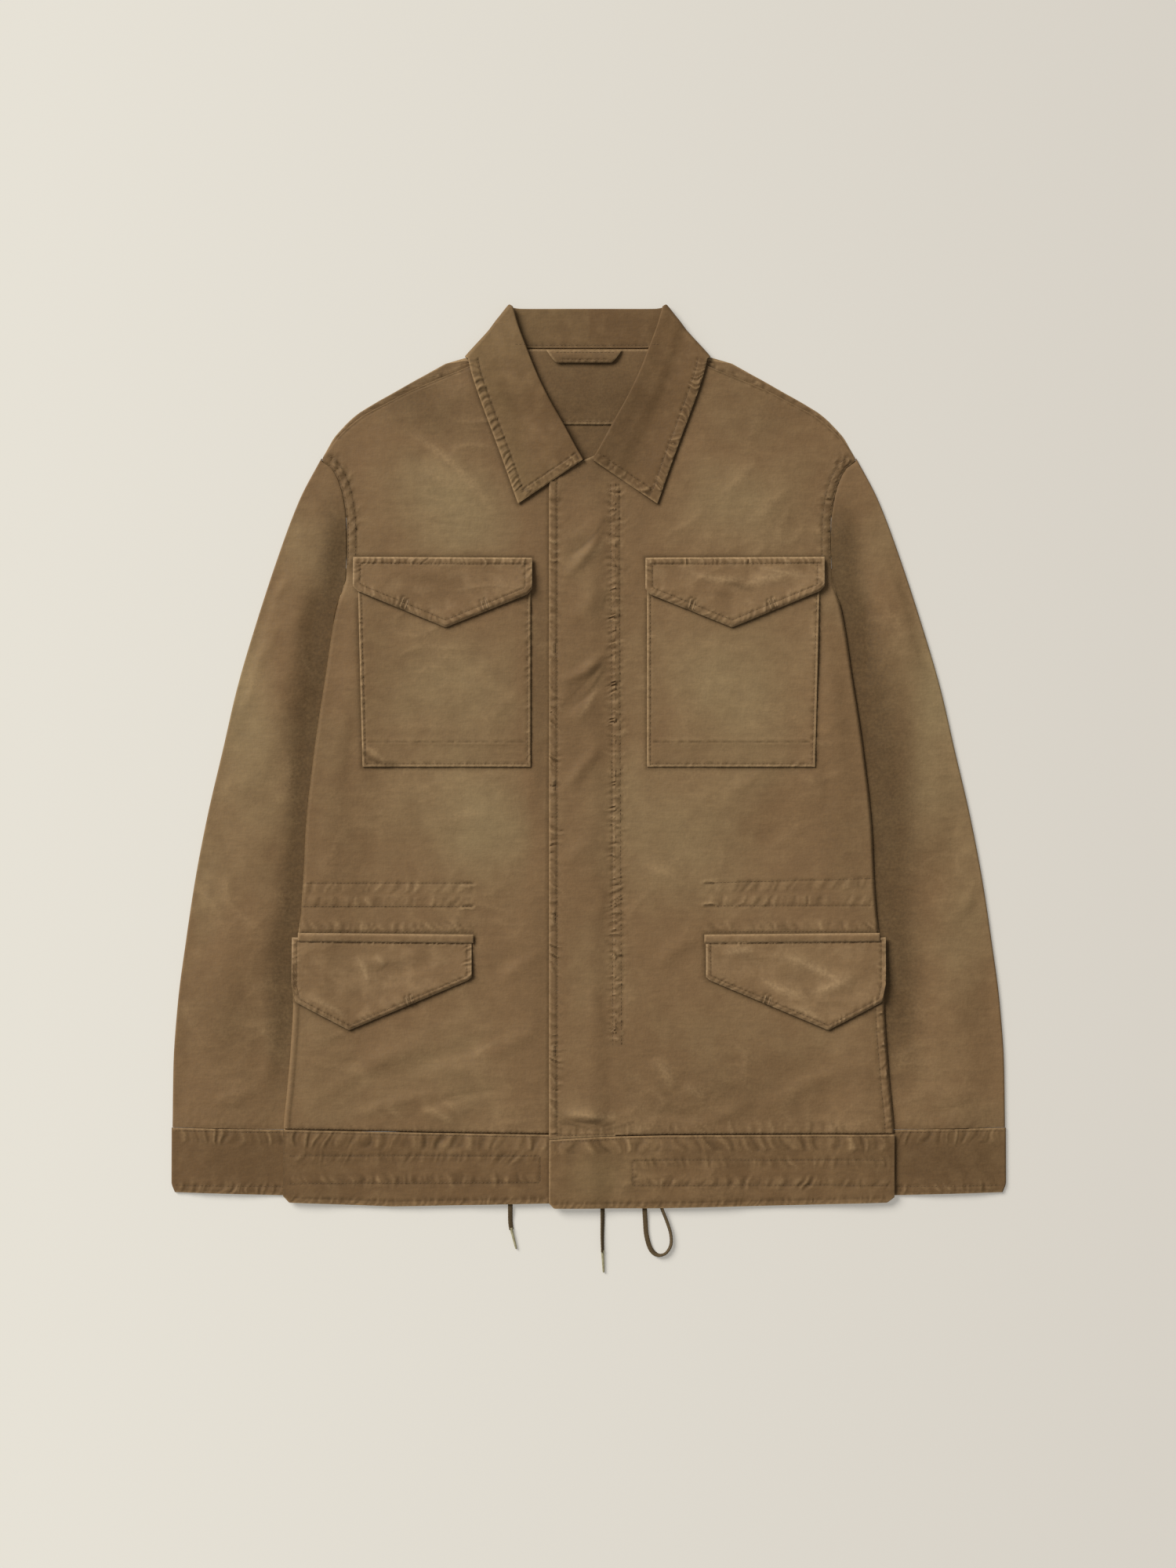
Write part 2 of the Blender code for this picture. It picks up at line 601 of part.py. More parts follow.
def collar_section(section, side):
    """Points across the collar, from the neck seam over the roll to the leaf's edge."""

    def world_x(reach):
        return COLLAR_CENTRE + side * reach

    def stand_point(part):
        return collar_sheet(
            section, (section.neck_x, section.neck_y), part,
            lambda x, y: cover(world_x(x), y) + LAY_GAP + WALL / 2,
            lambda x, y: rest(world_x(x), y) + WALL / 2,
        )

    def leaf_point(part):
        lift = LAYER * ease(part, *OVER_STAND) + COLLAR_PLUMP * ease(part, *PLUMP_ACROSS)
        return collar_sheet(
            section, (section.edge_x, section.edge_y), part,
            lambda x, y: cover(world_x(x), y) + LAY_GAP + WALL / 2 + lift,
            lambda x, y: WALL / 2,
        )

    stand = [stand_point(part) for part in STAND_PARTS]
    leaf = [leaf_point(part) for part in LEAF_PARTS]
    centre = (stand[-1] + leaf[0]) / 2
    radius = (leaf[0] - stand[-1]) / 2
    beyond = Vector((section.roll_x - section.edge_x, section.roll_y - section.edge_y, 0)).normalized()
    roll = []
    for angle in ROLL_ANGLES:
        turned = radius * cos(radians(angle)) + beyond * radius.length * sin(radians(angle))
        roll.append(centre + turned)
    points = stand + roll + leaf
    return [(world_x(point.x), point.y, point.z) for point in points]


def add_collar():
    """The collar: a strip that stands up from the neck seam and is folded down outwards."""
    right = [collar_section(section, -1) for section in COLLAR]
    left = [collar_section(section, 1) for section in reversed(COLLAR[:-1])]
    sections = right + left
    rows = len(sections[0]) - 1

    def place(u, v):
        return sections[round(u * (len(sections) - 1))][round(v * rows)]

    add_cloth("collar", len(sections) - 1, rows, place, DEEP_OLIVE, middle=True)


def add_neck_facing():
    """The facing inside the back neck, and the hanger loop on it."""

    def place_facing(u, v):
        y = mix(FACING_BOTTOM, FACING_TOP, v)
        x = COLLAR_CENTRE + mix(-1, 1, u) * mix(FACING_BOTTOM_HALF, FACING_TOP_HALF, v)
        return x, y, rest(x, y) + LAYER

    def place_loop(u, v):
        y = mix(LOOP_BOTTOM, LOOP_TOP, v)
        x = LOOP_MIDDLE + mix(-1, 1, u) * mix(LOOP_BOTTOM_HALF, LOOP_TOP_HALF, v)
        return x, y, rest(x, y) + 2 * LAYER

    add_cloth("neck_facing", *FACING_GRID, place_facing, OLIVE_BROWN)
    add_cloth("hanger_loop", *LOOP_GRID, place_loop, OLIVE_BROWN)


def add_strip(name, side, strips, grid, level, finish, taper=0, puff=0):
    """A piece that lies on a front, between the top and bottom lines of its strips.

    Its outer side runs in by the taper at the bottom, and its middle stands up by the puff.
    """
    columns, rows = grid
    inner = strips[0].reach
    outer = strips[-1].reach
    reaches = sorted({row.reach for row in strips})
    for step in range(1, columns):
        reach = mix(inner, outer, step / columns)
        if min(abs(reach - row.reach) for row in strips) > (outer - inner) / columns / 2:
            reaches.append(reach)
    reaches.sort()

    def place(u, v):
        reach = reaches[round(u * (len(reaches) - 1))]
        y = mix(read(strips, "reach", "bottom", reach), read(strips, "reach", "top", reach), v)
        x = side * (reach - taper * (1 - v) * u)
        inside = ease(u, 0, PUFF_SIDE_PART) * ease(1 - u, 0, PUFF_SIDE_PART)
        inside *= ease(v, 0, PUFF_BOTTOM_PART)
        return x, y, front_rest(x, y) + level + puff * inside

    add_cloth(name, len(reaches) - 1, rows, place, finish)


def add_pockets():
    """Chest pockets with their flaps, and the lower pockets' flaps and welts."""
    flap_level = 2 * LAYER + POCKET_GAP + POCKET_PUFF
    for name, side in SIDES:
        add_strip(
            name + "_chest_pocket", side, CHEST_POCKET, CHEST_POCKET_GRID, LAYER + POCKET_GAP,
            OLIVE_BROWN, taper=CHEST_POCKET_TAPER, puff=POCKET_PUFF,
        )
        add_strip(name + "_chest_flap", side, CHEST_FLAP, CHEST_FLAP_GRID, flap_level, WASHED_OLIVE)
        add_strip(name + "_lower_flap", side, LOWER_FLAP, LOWER_FLAP_GRID, LAYER, WASHED_OLIVE)
        add_strip(name + "_flap_welt", side, WELT, WELT_GRID, 2 * LAYER, OLIVE_BROWN)


def smooth_route(corners, step):
    """Points at even steps along a smooth curve through the corners of a route."""
    knots = [Vector(corner) for corner in corners]
    knots = [knots[0] * 2 - knots[1]] + knots + [knots[-1] * 2 - knots[-2]]
    route = []
    for before, start, end, after in zip(knots, knots[1:], knots[2:], knots[3:]):
        count = max(1, round((end - start).length / step))
        for index in range(count):
            t = index / count
            bend = (before * 2 - start * 5 + end * 4 - after) * t * t
            twist = (start * 3 - before - end * 3 + after) * t**3
            route.append((start * 2 + (end - before) * t + bend + twist) / 2)
    return route + [knots[-2]]


def add_cord(name, corners):
    """A stretch of the drawcord, as a round tube with closed ends."""
    route = smooth_route(corners, CORD_STEP)
    curve = bpy.data.curves.new(name, "CURVE")
    curve.dimensions = "3D"
    curve.bevel_depth = CORD_DIAMETER / 2 * MM
    curve.bevel_resolution = CORD_SIDES
    curve.use_fill_caps = True
    spline = curve.splines.new("POLY")
    spline.points.add(len(route) - 1)
    for point, place in zip(spline.points, route):
        place.z = max(place.z, ON_SURFACE)
        point.co = (*(place * MM), 1)
    add_piece(name, curve, CORD_BROWN)


def add_tip(name, cord_end, tip):
    """The thin tip on an end of the drawcord."""
    start = Vector(cord_end)
    end = Vector((*tip, ON_SURFACE))
    direction = (end - start).normalized()
    start += direction * CORD_GAP
    cone = bmesh.new()
    bmesh.ops.create_cone(
        cone, cap_ends=True, segments=TIP_SIDES, radius1=TIP_BASE_RADIUS * MM,
        radius2=TIP_END_RADIUS * MM, depth=(end - start).length * MM,
    )
    mesh = bpy.data.meshes.new(name)
    cone.to_mesh(mesh)
    cone.free()
    piece = add_piece(name, mesh, TIP_OLIVE)
    piece.location = (start + end) / 2 * MM
    piece.rotation_euler = direction.to_track_quat("Z", "Y").to_euler()


def add_drawcord():
    """The hem drawcord's two ends, with their tips, and its loop."""
    add_cord("hem_cord_short", SHORT_END)
    add_tip("hem_cord_short_tip", SHORT_END[-1], SHORT_TIP)
    add_cord("hem_cord_long", LONG_END)
    add_tip("hem_cord_long_tip", LONG_END[-1], LONG_TIP)
    add_cord("hem_cord_loop", LOOP_CORD)


for old in list(bpy.data.objects):
    bpy.data.objects.remove(old, do_unlink=True)
jacket = bpy.data.collections.new("field_jacket")
bpy.context.scene.collection.children.link(jacket)

add_back()
add_front("right_front", -1, RIGHT_FRONT_EDGE, RIGHT_SEAM)
add_front("left_front", 1, LEFT_FRONT_EDGE, LEFT_SEAM)
add_fly()
add_hem_bands()
add_sleeves()
add_collar()
add_neck_facing()
add_pockets()
add_drawcord()
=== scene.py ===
"""Looks of the field jacket laid flat: cloth shells, sewing, drawcord, stage, light and camera.

Sizes are millimetres in the jacket's frame: the wearer's right is -X, the collar +Y and up +Z.
A side is -1 on the wearer's right and 1 on the left.
A pair of values used with ease() is a ramp: absent at the first value, full at the second.
"""

from collections import namedtuple
from math import cos, pi, radians, sin

import bpy
import numpy as np
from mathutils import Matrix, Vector
from mathutils.bvhtree import BVHTree


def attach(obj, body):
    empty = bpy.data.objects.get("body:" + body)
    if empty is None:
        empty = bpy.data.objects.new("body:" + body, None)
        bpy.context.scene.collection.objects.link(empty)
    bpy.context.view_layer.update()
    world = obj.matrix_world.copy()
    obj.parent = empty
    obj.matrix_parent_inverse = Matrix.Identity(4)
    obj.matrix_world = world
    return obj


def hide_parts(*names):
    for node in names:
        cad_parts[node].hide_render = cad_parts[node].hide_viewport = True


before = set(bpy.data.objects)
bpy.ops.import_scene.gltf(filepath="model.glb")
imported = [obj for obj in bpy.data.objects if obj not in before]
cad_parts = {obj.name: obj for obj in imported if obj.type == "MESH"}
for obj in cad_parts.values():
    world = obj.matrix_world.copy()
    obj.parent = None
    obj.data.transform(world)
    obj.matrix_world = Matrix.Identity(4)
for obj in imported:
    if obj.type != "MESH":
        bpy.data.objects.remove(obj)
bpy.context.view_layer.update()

MM = 0.001  # metres in a millimetre

# Levels, as in the solids
WALL = 1.2
SEAM_GAP = 0.4
LAY_GAP = 0.5
LAYER = WALL + LAY_GAP
SLEEVE_LIFT = 3.5  # how far the back's edge rides up on the sleeve under it
LIFT_IN = (64, 14)  # by the distance from that edge
LIFT_DOWN = (165, 135)  # and down the body
COLLAR_LIFT = 2.0  # how far the back rides up on the collar's fall
EDGE_GAP = 0.8  # between back and front at the body's edge
BODY_PUFF = 1.7  # how much wider the gap is inside that edge
PUFF_IN = (0, 60)
NECK_GAP = 2.3  # the least gap at the neck
CORD_SPACE = 3.9  # the gap in the hem, where the drawcord runs
CORD_ACROSS = (150, 90)
CORD_DOWN = (-335, -356)
LEAST_GAP = 0.3
Oval = namedtuple("Oval", "y half_width half_height fade")
FALL_OVAL = Oval(365, 125, 35, 1.9)
NECK_OVAL = Oval(325, 80, 60, 1.6)
SHOULDER = 264
UNDERARM = 168
BACK_SEAM = -335
BACK_HEM = -397
HEM_REACH = 272.4  # of the outer ends of the front hem bands
FLY_EDGE = -35.5
FLY_SEAM = 23.8
UNDER_FRONT_EDGE = -4  # of the right front, under the fly
FLY_STEP = (22, 0)  # where the left front climbs on to the right one
FLY_LEFT = (-64, -40)  # where the collar climbs on to the fly, from beside it and from above
FLY_END = (305, 280)
COLLAR_FRONT = 225
COLLAR_CENTRE = -1
POCKET_GAP = 0.2
POCKET_PUFF = 0.8
SIDES = (("right", -1), ("left", 1))

# The body's outline: (height, reach of the back, reach of the front)
BODY_SIDE = [
    (363, 84, 78), (357, 94, 86), (352.4, 98, 93), (351.4, 124, 98), (346, 134.5, 110),
    (336, 153.5, 135), (325, 173, 161), (314, 192.5, 182), (304, 208, 201), (293, 219.5, 215),
    (283, 228, 225), (273, 233.5, 232), (264, 238, 237.5), (257, 230, 230), (246, 223.5, 223.5),
    (229, 218.6, 218.6), (209, 216, 216), (189, 215.7, 215.7), (168, 216.4, 216.4),
    (158, 216.8, 216.8), (148, 219.5, 219.5), (129, 225.5, 225.5), (73, 234.5, 234.5), (3, 245, 245),
    (-67, 252.5, 252.5), (-116, 254.7, 254.7), (-158, 258.3, 258.3), (-200, 264, 264),
    (-217, 263.5, 263.5), (-284, 267.5, 267.5), (-335, 272, 272), (-392, 272.6, 272.6),
]
RIGHT_FRONT_EDGE = [(363, -66), (334, -57), (311, -46), (288, -31), (270, -17), (264, -4), (-400, -4)]
LEFT_FRONT_EDGE = [(363, 64), (334, 55), (311, 44), (288, 29), (279, FLY_SEAM), (-400, FLY_SEAM)]
RIGHT_SEAM = [(-273, -333), (-160, -335.5), (-4, -338)]
LEFT_SEAM = [(-35.5, -342), (6, -339.4), (70, -338), (273, -337.2)]
RIGHT_HEM = [(-272.6, -392), (-267, -398), (-175, -401.5), (-35, -398.8), (-4, -398.8)]
LEFT_HEM = [(-35.5, -398.5), (-31, -403.2), (66, -403), (175, -400.5), (266, -398), (272.6, -393)]
FLY_TOP = [(-35.5, 250), (-4, 264), (23.8, 276)]


def ease(value, start, end):
    """Go smoothly from 0 at start to 1 at end, and stay there."""
    part = np.clip((value - start) / (end - start), 0.0, 1.0)
    return part * part * (3 - 2 * part)


def mix(first, second, part):
    """The value that part of the way from first to second."""
    return first + (second - first) * part


def smooth(points):
    """A smooth curve through (key, value) points that doesn't overshoot them, as a function."""
    keys, values = np.array(sorted(points), dtype=float).T
    steps = np.diff(keys)
    slopes = np.diff(values) / steps
    before, after = slopes[:-1], slopes[1:]
    alike = before * after > 0
    total = np.where(alike, before + after, 1)
    inner = np.where(alike, 2 * before * after / total, 0)
    tangents = np.concatenate([slopes[:1], inner, slopes[-1:]])

    def at(key):
        """The curve's value at a key."""
        key = np.clip(key, keys[0], keys[-1])
        index = np.clip(np.searchsorted(keys, key, side="right") - 1, 0, len(steps) - 1)
        step = steps[index]
        t = (key - keys[index]) / step
        rise = values[index + 1] - values[index]
        start, end = tangents[index] * step, tangents[index + 1] * step
        return values[index] + t * (start + t * (3 * rise - 2 * start - end + t * (start + end - 2 * rise)))

    return at


def straight(points):
    """The broken line through (key, value) points, as a function."""
    keys, values = np.array(sorted(points), dtype=float).T
    return lambda key: np.interp(key, keys, values)


back_reach = smooth([(height, back) for height, back, _ in BODY_SIDE])
front_reach = smooth([(height, front) for height, _, front in BODY_SIDE])
band_seam = {-1: straight(RIGHT_SEAM), 1: straight(LEFT_SEAM)}


def within(oval, x, y):
    """1 inside an oval, and smoothly down to 0 where it fades out."""
    return ease(np.hypot(x / oval.half_width, (y - oval.y) / oval.half_height), oval.fade, 1)


def rest(x, y):
    """Height of the back's underside."""
    side = back_reach(y) - abs(x)
    return SLEEVE_LIFT * ease(y, *LIFT_DOWN) * ease(side, *LIFT_IN) + COLLAR_LIFT * within(FALL_OVAL, x, y)


# ---- Folds and undulation of the cloth ----

# A ridge or trough from one point to another, bowed sideways. Sharp ones have a thin crest.
Crease = namedtuple("Crease", "start_x start_y end_x end_y height width bow sharp")


def crease_table(*rows):
    """A table of creases, whose columns are Crease's."""
    return [Crease(*row) for row in rows]


BODY_CREASES = crease_table(
    (-165, 292, -88, 225, 0.9, 5, 5, 1), (-150, 262, -112, 236, 0.7, 4, -3, 1),
    (-128, 262, -80, 214, 0.6, 4, 2, 1), (-205, 262, -95, 188, 1.0, 20, 6, 0),
    (-215, 130, -205, -20, 0.8, 20, 3, 0), (-205, 40, -212, -30, -0.7, 7, -3, 0),
    (-170, -25, -50, -75, 1.1, 24, 8, 0), (-225, -60, -120, -105, -0.9, 22, -6, 0),
    (-150, -60, -84, -52, 0.5, 5, 2, 1), (-120, -50, -60, -96, 0.7, 7, 4, 0),
    (-190, -262, -50, -312, 1.0, 22, 6, 0), (-236, -302, -140, -254, 1.3, 8, 5, 0),
    (-212, -323, -130, -300, 1.0, 5.5, 3, 0), (-108, -272, -42, -236, 1.0, 8, -4, 0),
    (-80, -202, -40, -176, 0.8, 6, 3, 0), (-150, -312, -118, -330, 0.8, 3, 2, 1),
    (-135, -302, -108, -318, 0.6, 3, -2, 1), (-248, -240, -200, -258, 0.9, 6, 3, 0),
    (-205, -290, -110, -322, 1.1, 9, -5, 0), (-140, -278, -60, -290, 0.8, 7, 4, 0),
    (-240, -265, -170, -268, 0.8, 8, 2, 0), (-120, -235, -62, -262, 0.7, 8, 3, 0),
    (-100, -200, -50, -176, -0.6, 8, 2, 0), (60, 280, 180, 200, 1.0, 22, 6, 0),
    (150, 268, 116, 232, 0.6, 5, 2, 1), (176, 242, 150, 205, 0.6, 6, -2, 1),
    (215, 120, 208, -30, 0.9, 20, 3, 0), (205, 20, 214, -50, -0.7, 7, 3, 0),
    (45, -55, 170, -30, 1.1, 24, 5, 0), (110, -95, 230, -60, -0.9, 22, 5, 0),
    (48, -98, 86, -112, 0.6, 5, 2, 1), (60, -305, 220, -262, 1.0, 22, 6, 0),
    (58, -268, 74, -300, 0.9, 6, 3, 1), (84, -292, 108, -304, 0.8, 5, -2, 1),
    (120, -268, 200, -300, -0.7, 12, 6, 0), (34, -215, 64, -240, 0.6, 7, 3, 0),
    (150, -318, 240, -278, 1.2, 8, 5, 0), (84, -330, 150, -306, 0.9, 6, -3, 0),
    (60, -190, 96, -160, 0.8, 7, 3, 0), (210, -262, 256, -292, 0.9, 6, 3, 0),
    (120, -40, 170, -8, 0.6, 6, 3, 0), (-176, -288, -60, -250, -0.9, 8, 5, 0),
    (-160, -318, -70, -296, -0.8, 4, 3, 0), (-182, -312, -164, -326, 0.7, 2.5, 1, 1),
    (-104, -270, -78, -252, 0.6, 3, 2, 1), (40, -318, 120, -326, -0.8, 5, 2, 0),
    (54, -296, 70, -312, 0.6, 3, 1, 1),
)
FOLD_HEIGHT = 1.4  # times the heights of the body's creases
BODY_DRIFT = (130, 45, 0.22)  # the swells' longest and shortest waves and their height
FLY_LIFT = 0.6  # how far the fly stands off, and what its creases' heights are multiplied by
FLY_FOLD = 1.35
DRIFT_WAVES = 9
FLY_CREASES = crease_table(
    (21, 226, -22, 158, 1.9, 5.5, 5, 0), (20, 223, -20, 178, -1.1, 2.6, 6, 1),
    (10, 232, -30, 196, -1.0, 6, 3, 0), (-25, 243, -31, 212, -1.0, 2.4, 1, 1),
    (22, 98, -24, 66, 1.7, 5, 4, 0), (18, 88, -8, 50, -1.2, 2.6, 3, 1), (20, 84, -26, 38, -1.3, 5, 3, 0),
    (16, 148, 10, 128, -0.8, 2.4, 1, 1), (14, 196, 2, 176, 0.8, 3, 2, 1), (8, 66, -12, 30, 0.8, 3, 2, 1),
    (16, 10, -20, -30, 1.2, 6, -3, 0), (12, 150, -20, 120, 0.8, 8, 3, 0), (4, -70, -24, -96, 0.8, 8, 2, 0),
    (14, -110, 8, -150, 0.9, 6, 2, 0), (2, -205, 18, -244, 0.8, 7, -3, 0),
    (-26, -320, 36, -331, 1.6, 5, 3, 0), (-22, -330, 30, -322, -0.9, 4.5, -2, 0),
    (-20, -317, 32, -320, 1.3, 4, -3, 1), (-28, -322, 6, -331, -1.4, 1.8, -3, 1),
    (2, -331, 30, -323, -1.0, 1.8, -2, 1),
)


def crease_height(creases, x, y):
    """Height of all the ridges and troughs of a table."""
    total = np.zeros(np.broadcast(x, y).shape)
    for crease in creases:
        run_x, run_y = crease.end_x - crease.start_x, crease.end_y - crease.start_y
        length = np.hypot(run_x, run_y)
        part = ((x - crease.start_x) * run_x + (y - crease.start_y) * run_y) / length**2
        across = ((y - crease.start_y) * run_x - (x - crease.start_x) * run_y) / length
        taper = np.sin(pi * np.clip(part, 0, 1))
        offset = abs(across - crease.bow * taper) / crease.width
        profile = np.exp(-offset) * (1 + offset) if crease.sharp else np.exp(-offset**2)
        total = total + crease.height * taper**0.8 * profile
    return total


def crease_wear(creases, x, y):
    """How worn the crests of the sharp ridges are, and how dark the bottoms of the sharp troughs: partly
    dye left there, partly painted shade.
    """
    worn, dye_and_shade = np.zeros((2, *np.broadcast(x, y).shape))
    for crease in creases:
        if crease.sharp:
            thin = crease._replace(width=crease.width * 0.4, height=min(1, abs(crease.height)))
            mark = worn if crease.height > 0 else dye_and_shade
            np.maximum(mark, crease_height([thin], x, y), out=mark)
    return worn, dye_and_shade


def drift(x, y, seed, longest, shortest, height):
    """Slow uneven swells of the cloth: the sum of a few waves in all directions."""
    chance = np.random.default_rng(seed)
    total = 0
    for _ in range(DRIFT_WAVES):
        angle, phase = chance.uniform(0, 2 * pi, 2)
        wave = 2 * pi / chance.uniform(shortest, longest)
        total = total + np.sin((x * cos(angle) + y * sin(angle)) * wave + phase)
    return height * total / np.sqrt(DRIFT_WAVES)


CRINKLE_SIZES = ((52, 20), (95, 36))  # longest and shortest waves of the two sets
CRINKLE_PATCHES = (190, 70)  # and of the patches that they are in
CRINKLE_THIN = 2.6


def crinkle(x, y, seed, height):
    """Faint wandering ridges, in patches, as washing leaves them: their height and how worn they are."""
    rise, worn = 0, 0
    for index, waves in enumerate(CRINKLE_SIZES):
        way = drift(0.75 * x, 1.25 * y, seed + index, *waves, 1)
        patches = np.clip(drift(x, y, seed + 5 + index, *CRINKLE_PATCHES, 1) - 0.15, 0, 1.2)
        ridge = np.exp(-CRINKLE_THIN * abs(way)) * patches
        rise = rise + ridge * height * (1 + index)
        worn = np.maximum(worn, ridge)
    return rise, worn


def front_rest(x, y):
    """Height of a front's underside, with the body's folds."""
    side = front_reach(y) - abs(x)
    gap = EDGE_GAP + BODY_PUFF * ease(side, *PUFF_IN)
    folds = FOLD_HEIGHT * crease_height(BODY_CREASES, x, y) + drift(x, y, 3, *BODY_DRIFT)
    gap = np.maximum(gap + folds * ease(side, 3, 22), LEAST_GAP)
    gap = mix(gap, np.maximum(gap, NECK_GAP), within(NECK_OVAL, x, y))
    gap = mix(gap, CORD_SPACE, ease(abs(x), *CORD_ACROSS) * ease(y, *CORD_DOWN))
    return rest(x, y) + WALL + gap


def fly_puff(x, y):
    """How far the fly stands off the fronts, with its own folds."""
    inside = ease(x, FLY_EDGE, FLY_EDGE + 15) * ease(x, FLY_SEAM - 2, FLY_SEAM - 10)
    inside = inside * ease(y, COLLAR_FRONT, COLLAR_FRONT - 20)
    return np.maximum(0, FLY_LIFT + FLY_FOLD * crease_height(FLY_CREASES, x, y)) * inside


def body_top(x, y):
    """Height of the top of the left front with its fly, which is one surface."""
    on_fly = ease(x, *FLY_STEP) * (x > FLY_EDGE)
    return front_rest(x, y) + WALL + (LAYER + fly_puff(x, y)) * on_fly


def front_top(side, x, y):
    """Height of the top of a front. The left one has the fly on it."""
    return body_top(x, y) if side > 0 else front_rest(x, y) + WALL


def cover(x, y):
    """Height of the top of the fronts and fly under the collar."""
    on_fly = ease(x, *FLY_STEP) * ease(x, *FLY_LEFT) * ease(y, *FLY_END)
    return front_rest(x, y) + WALL + LAYER * on_fly


# ---- Sewing ----

# A stitched line and what it does to the cloth beside it. The band is how wide the sewn
# allowance is, on the line's left, or on its right where it is negative; plump is how far that
# stands up, ripple the height of its puckers and pitch their spacing. Reach is how far the
# puckers run on past the band and on the line's other side, and slant how far they lean. No
# thread shows on a row that isn't stitched.
USUAL_SLANT = 0.35
Sewing = namedtuple(
    "Sewing", "line band plump ripple pitch reach seed slant stitched", defaults=(USUAL_SLANT, True),
)
GROOVE_DEPTH = 0.38
GROOVE_WIDTH = 0.9
PUCKER = 2.6  # times the rows' own ripple
DEEP_PUCKER = 1.1  # times the dark marks in the puckers' troughs, partly dye and partly painted shade
FULL_RIPPLE = 0.3  # a ripple of this height or more has its marks in full
LEAN_DRIFT = (70, 24, 0.35)  # how unevenly the puckers lean and bend, in BODY_DRIFT's terms
BEND_DRIFT = (28, 9, 1.2)


def sewing(*rows):
    """A table of rows of sewing, whose columns are Sewing's."""
    return [Sewing(np.array(line, dtype=float), *values) for line, *values in rows]


def locate(line, x, y):
    """Signed distance from a broken line, positive on its left, the length along it, and its own."""
    x, y = np.broadcast_arrays(np.asarray(x, dtype=float), np.asarray(y, dtype=float))
    nearest = np.full(x.shape, np.inf)
    signed = np.zeros(x.shape)
    length = np.zeros(x.shape)
    covered = 0.0
    for start, end in zip(line, line[1:]):
        run = end - start
        size = float(np.hypot(*run))
        offset_x, offset_y = x - start[0], y - start[1]
        part = np.clip((offset_x * run[0] + offset_y * run[1]) / size**2, 0, 1)
        distance = np.hypot(offset_x - run[0] * part, offset_y - run[1] * part)
        left = np.sign(offset_y * run[0] - offset_x * run[1])
        closer = distance < nearest
        nearest = np.where(closer, distance, nearest)
        signed = np.where(closer, distance * left, signed)
        length = np.where(closer, covered + part * size, length)
        covered += size
    return signed, length, covered


def ripples(length, pitch, seed):
    """Uneven puckers along a seam, from -1 to 1: their spacing and height vary."""
    chance = np.random.default_rng(seed)
    count = int(np.max(length) / pitch * 2.2) + 16
    knots = np.cumsum(pitch / 2 * chance.uniform(0.4, 1.6, count)) - 3 * pitch
    heights = chance.uniform(0.3, 1.0, count) * np.where(np.arange(count) % 2, 1, -1)
    index = np.clip(np.searchsorted(knots, length) - 1, 0, count - 2)
    part = ease(length, knots[index], knots[index + 1])
    return mix(heights[index], heights[index + 1], part)


def pucker(row, inward, length, x, y):
    """A row's puckers, from about -1 to 1, where its allowance is, and how much of them shows."""
    band = abs(row.band)
    lean = row.slant + drift(x, y, row.seed + 700, *LEAN_DRIFT)
    bent = length + lean * inward + drift(x, y, row.seed + 300, *BEND_DRIFT)
    wave = 0.75 * ripples(bent, row.pitch, row.seed)
    wave = wave + 0.4 * ripples(bent * 1.9 + 40, row.pitch, row.seed + 600)
    uneven = 0.78 + 0.28 * ripples(length, row.pitch * 5, row.seed + 400)
    allowance = ease(inward, 0, 1.2) * ease(inward, band + 1.0, band - 0.4)
    further = np.clip(0.5 + ripples(bent, row.pitch * 1.7, row.seed + 500), 0, 1.2)
    reach = row.reach * (0.4 + 0.6 * further)
    past = ease(-inward / reach, 1, 0) * ease((inward - band) / reach, 1, 0)
    return wave, allowance, np.maximum(allowance, 0.75 * past) * uneven


def sew(rows, x, y):
    """What rows of sewing do at each point: the change of height, marks of wear, and dark marks that are
    partly dye and partly painted shade.
    """
    rise, pale, deep = np.zeros((3, *np.broadcast(x, y).shape))
    for row in rows:
        signed, length, covered = locate(row.line, x, y)
        inward = signed * (1 if row.band > 0 else -1)
        ends = ease(length, 0, 2) * ease(length, covered, covered - 2)
        wave, allowance, shown = pucker(row, inward, length, x, y)
        groove = np.exp(-((inward / GROOVE_WIDTH) ** 2)) * ends
        near = (abs(inward) < abs(row.band) + row.reach * 1.4 + 2) * ends
        rise = rise + near * (row.plump * allowance + PUCKER * row.ripple * wave * shown)
        rise = rise - GROOVE_DEPTH * groove * (1 - 0.4 * wave)
        strength = min(1.0, row.ripple / FULL_RIPPLE) * near * shown
        pale = np.maximum(pale, strength * np.clip(wave, 0, 1) ** 1.4)
        # Pucker troughs darkened: partly dye left there, partly painted shade.
        deep = np.maximum(deep, DEEP_PUCKER * strength * np.clip(-wave, 0, 1))
        # The stitch line darkened: a dark seam line with painted shade in its groove.
        deep = np.maximum(deep, groove * (0.6 - 0.4 * wave))
    return rise, pale, deep


def offset_line(points, distance):
    """A broken line moved to its left by a distance, with its corners kept."""
    points = np.array(points, dtype=float)
    runs = np.diff(points, axis=0)
    runs = runs / np.hypot(runs[:, 0], runs[:, 1])[:, None]
    sides = np.stack([-runs[:, 1], runs[:, 0]], axis=1)
    moved = []
    for index, point in enumerate(points):
        before = sides[max(index - 1, 0)]
        after = sides[min(index, len(sides) - 1)]
        corner = before + after
        moved.append(point + corner * 2 * distance / max(0.4, corner @ corner))
    return np.array(moved)


# ---- Grids ----

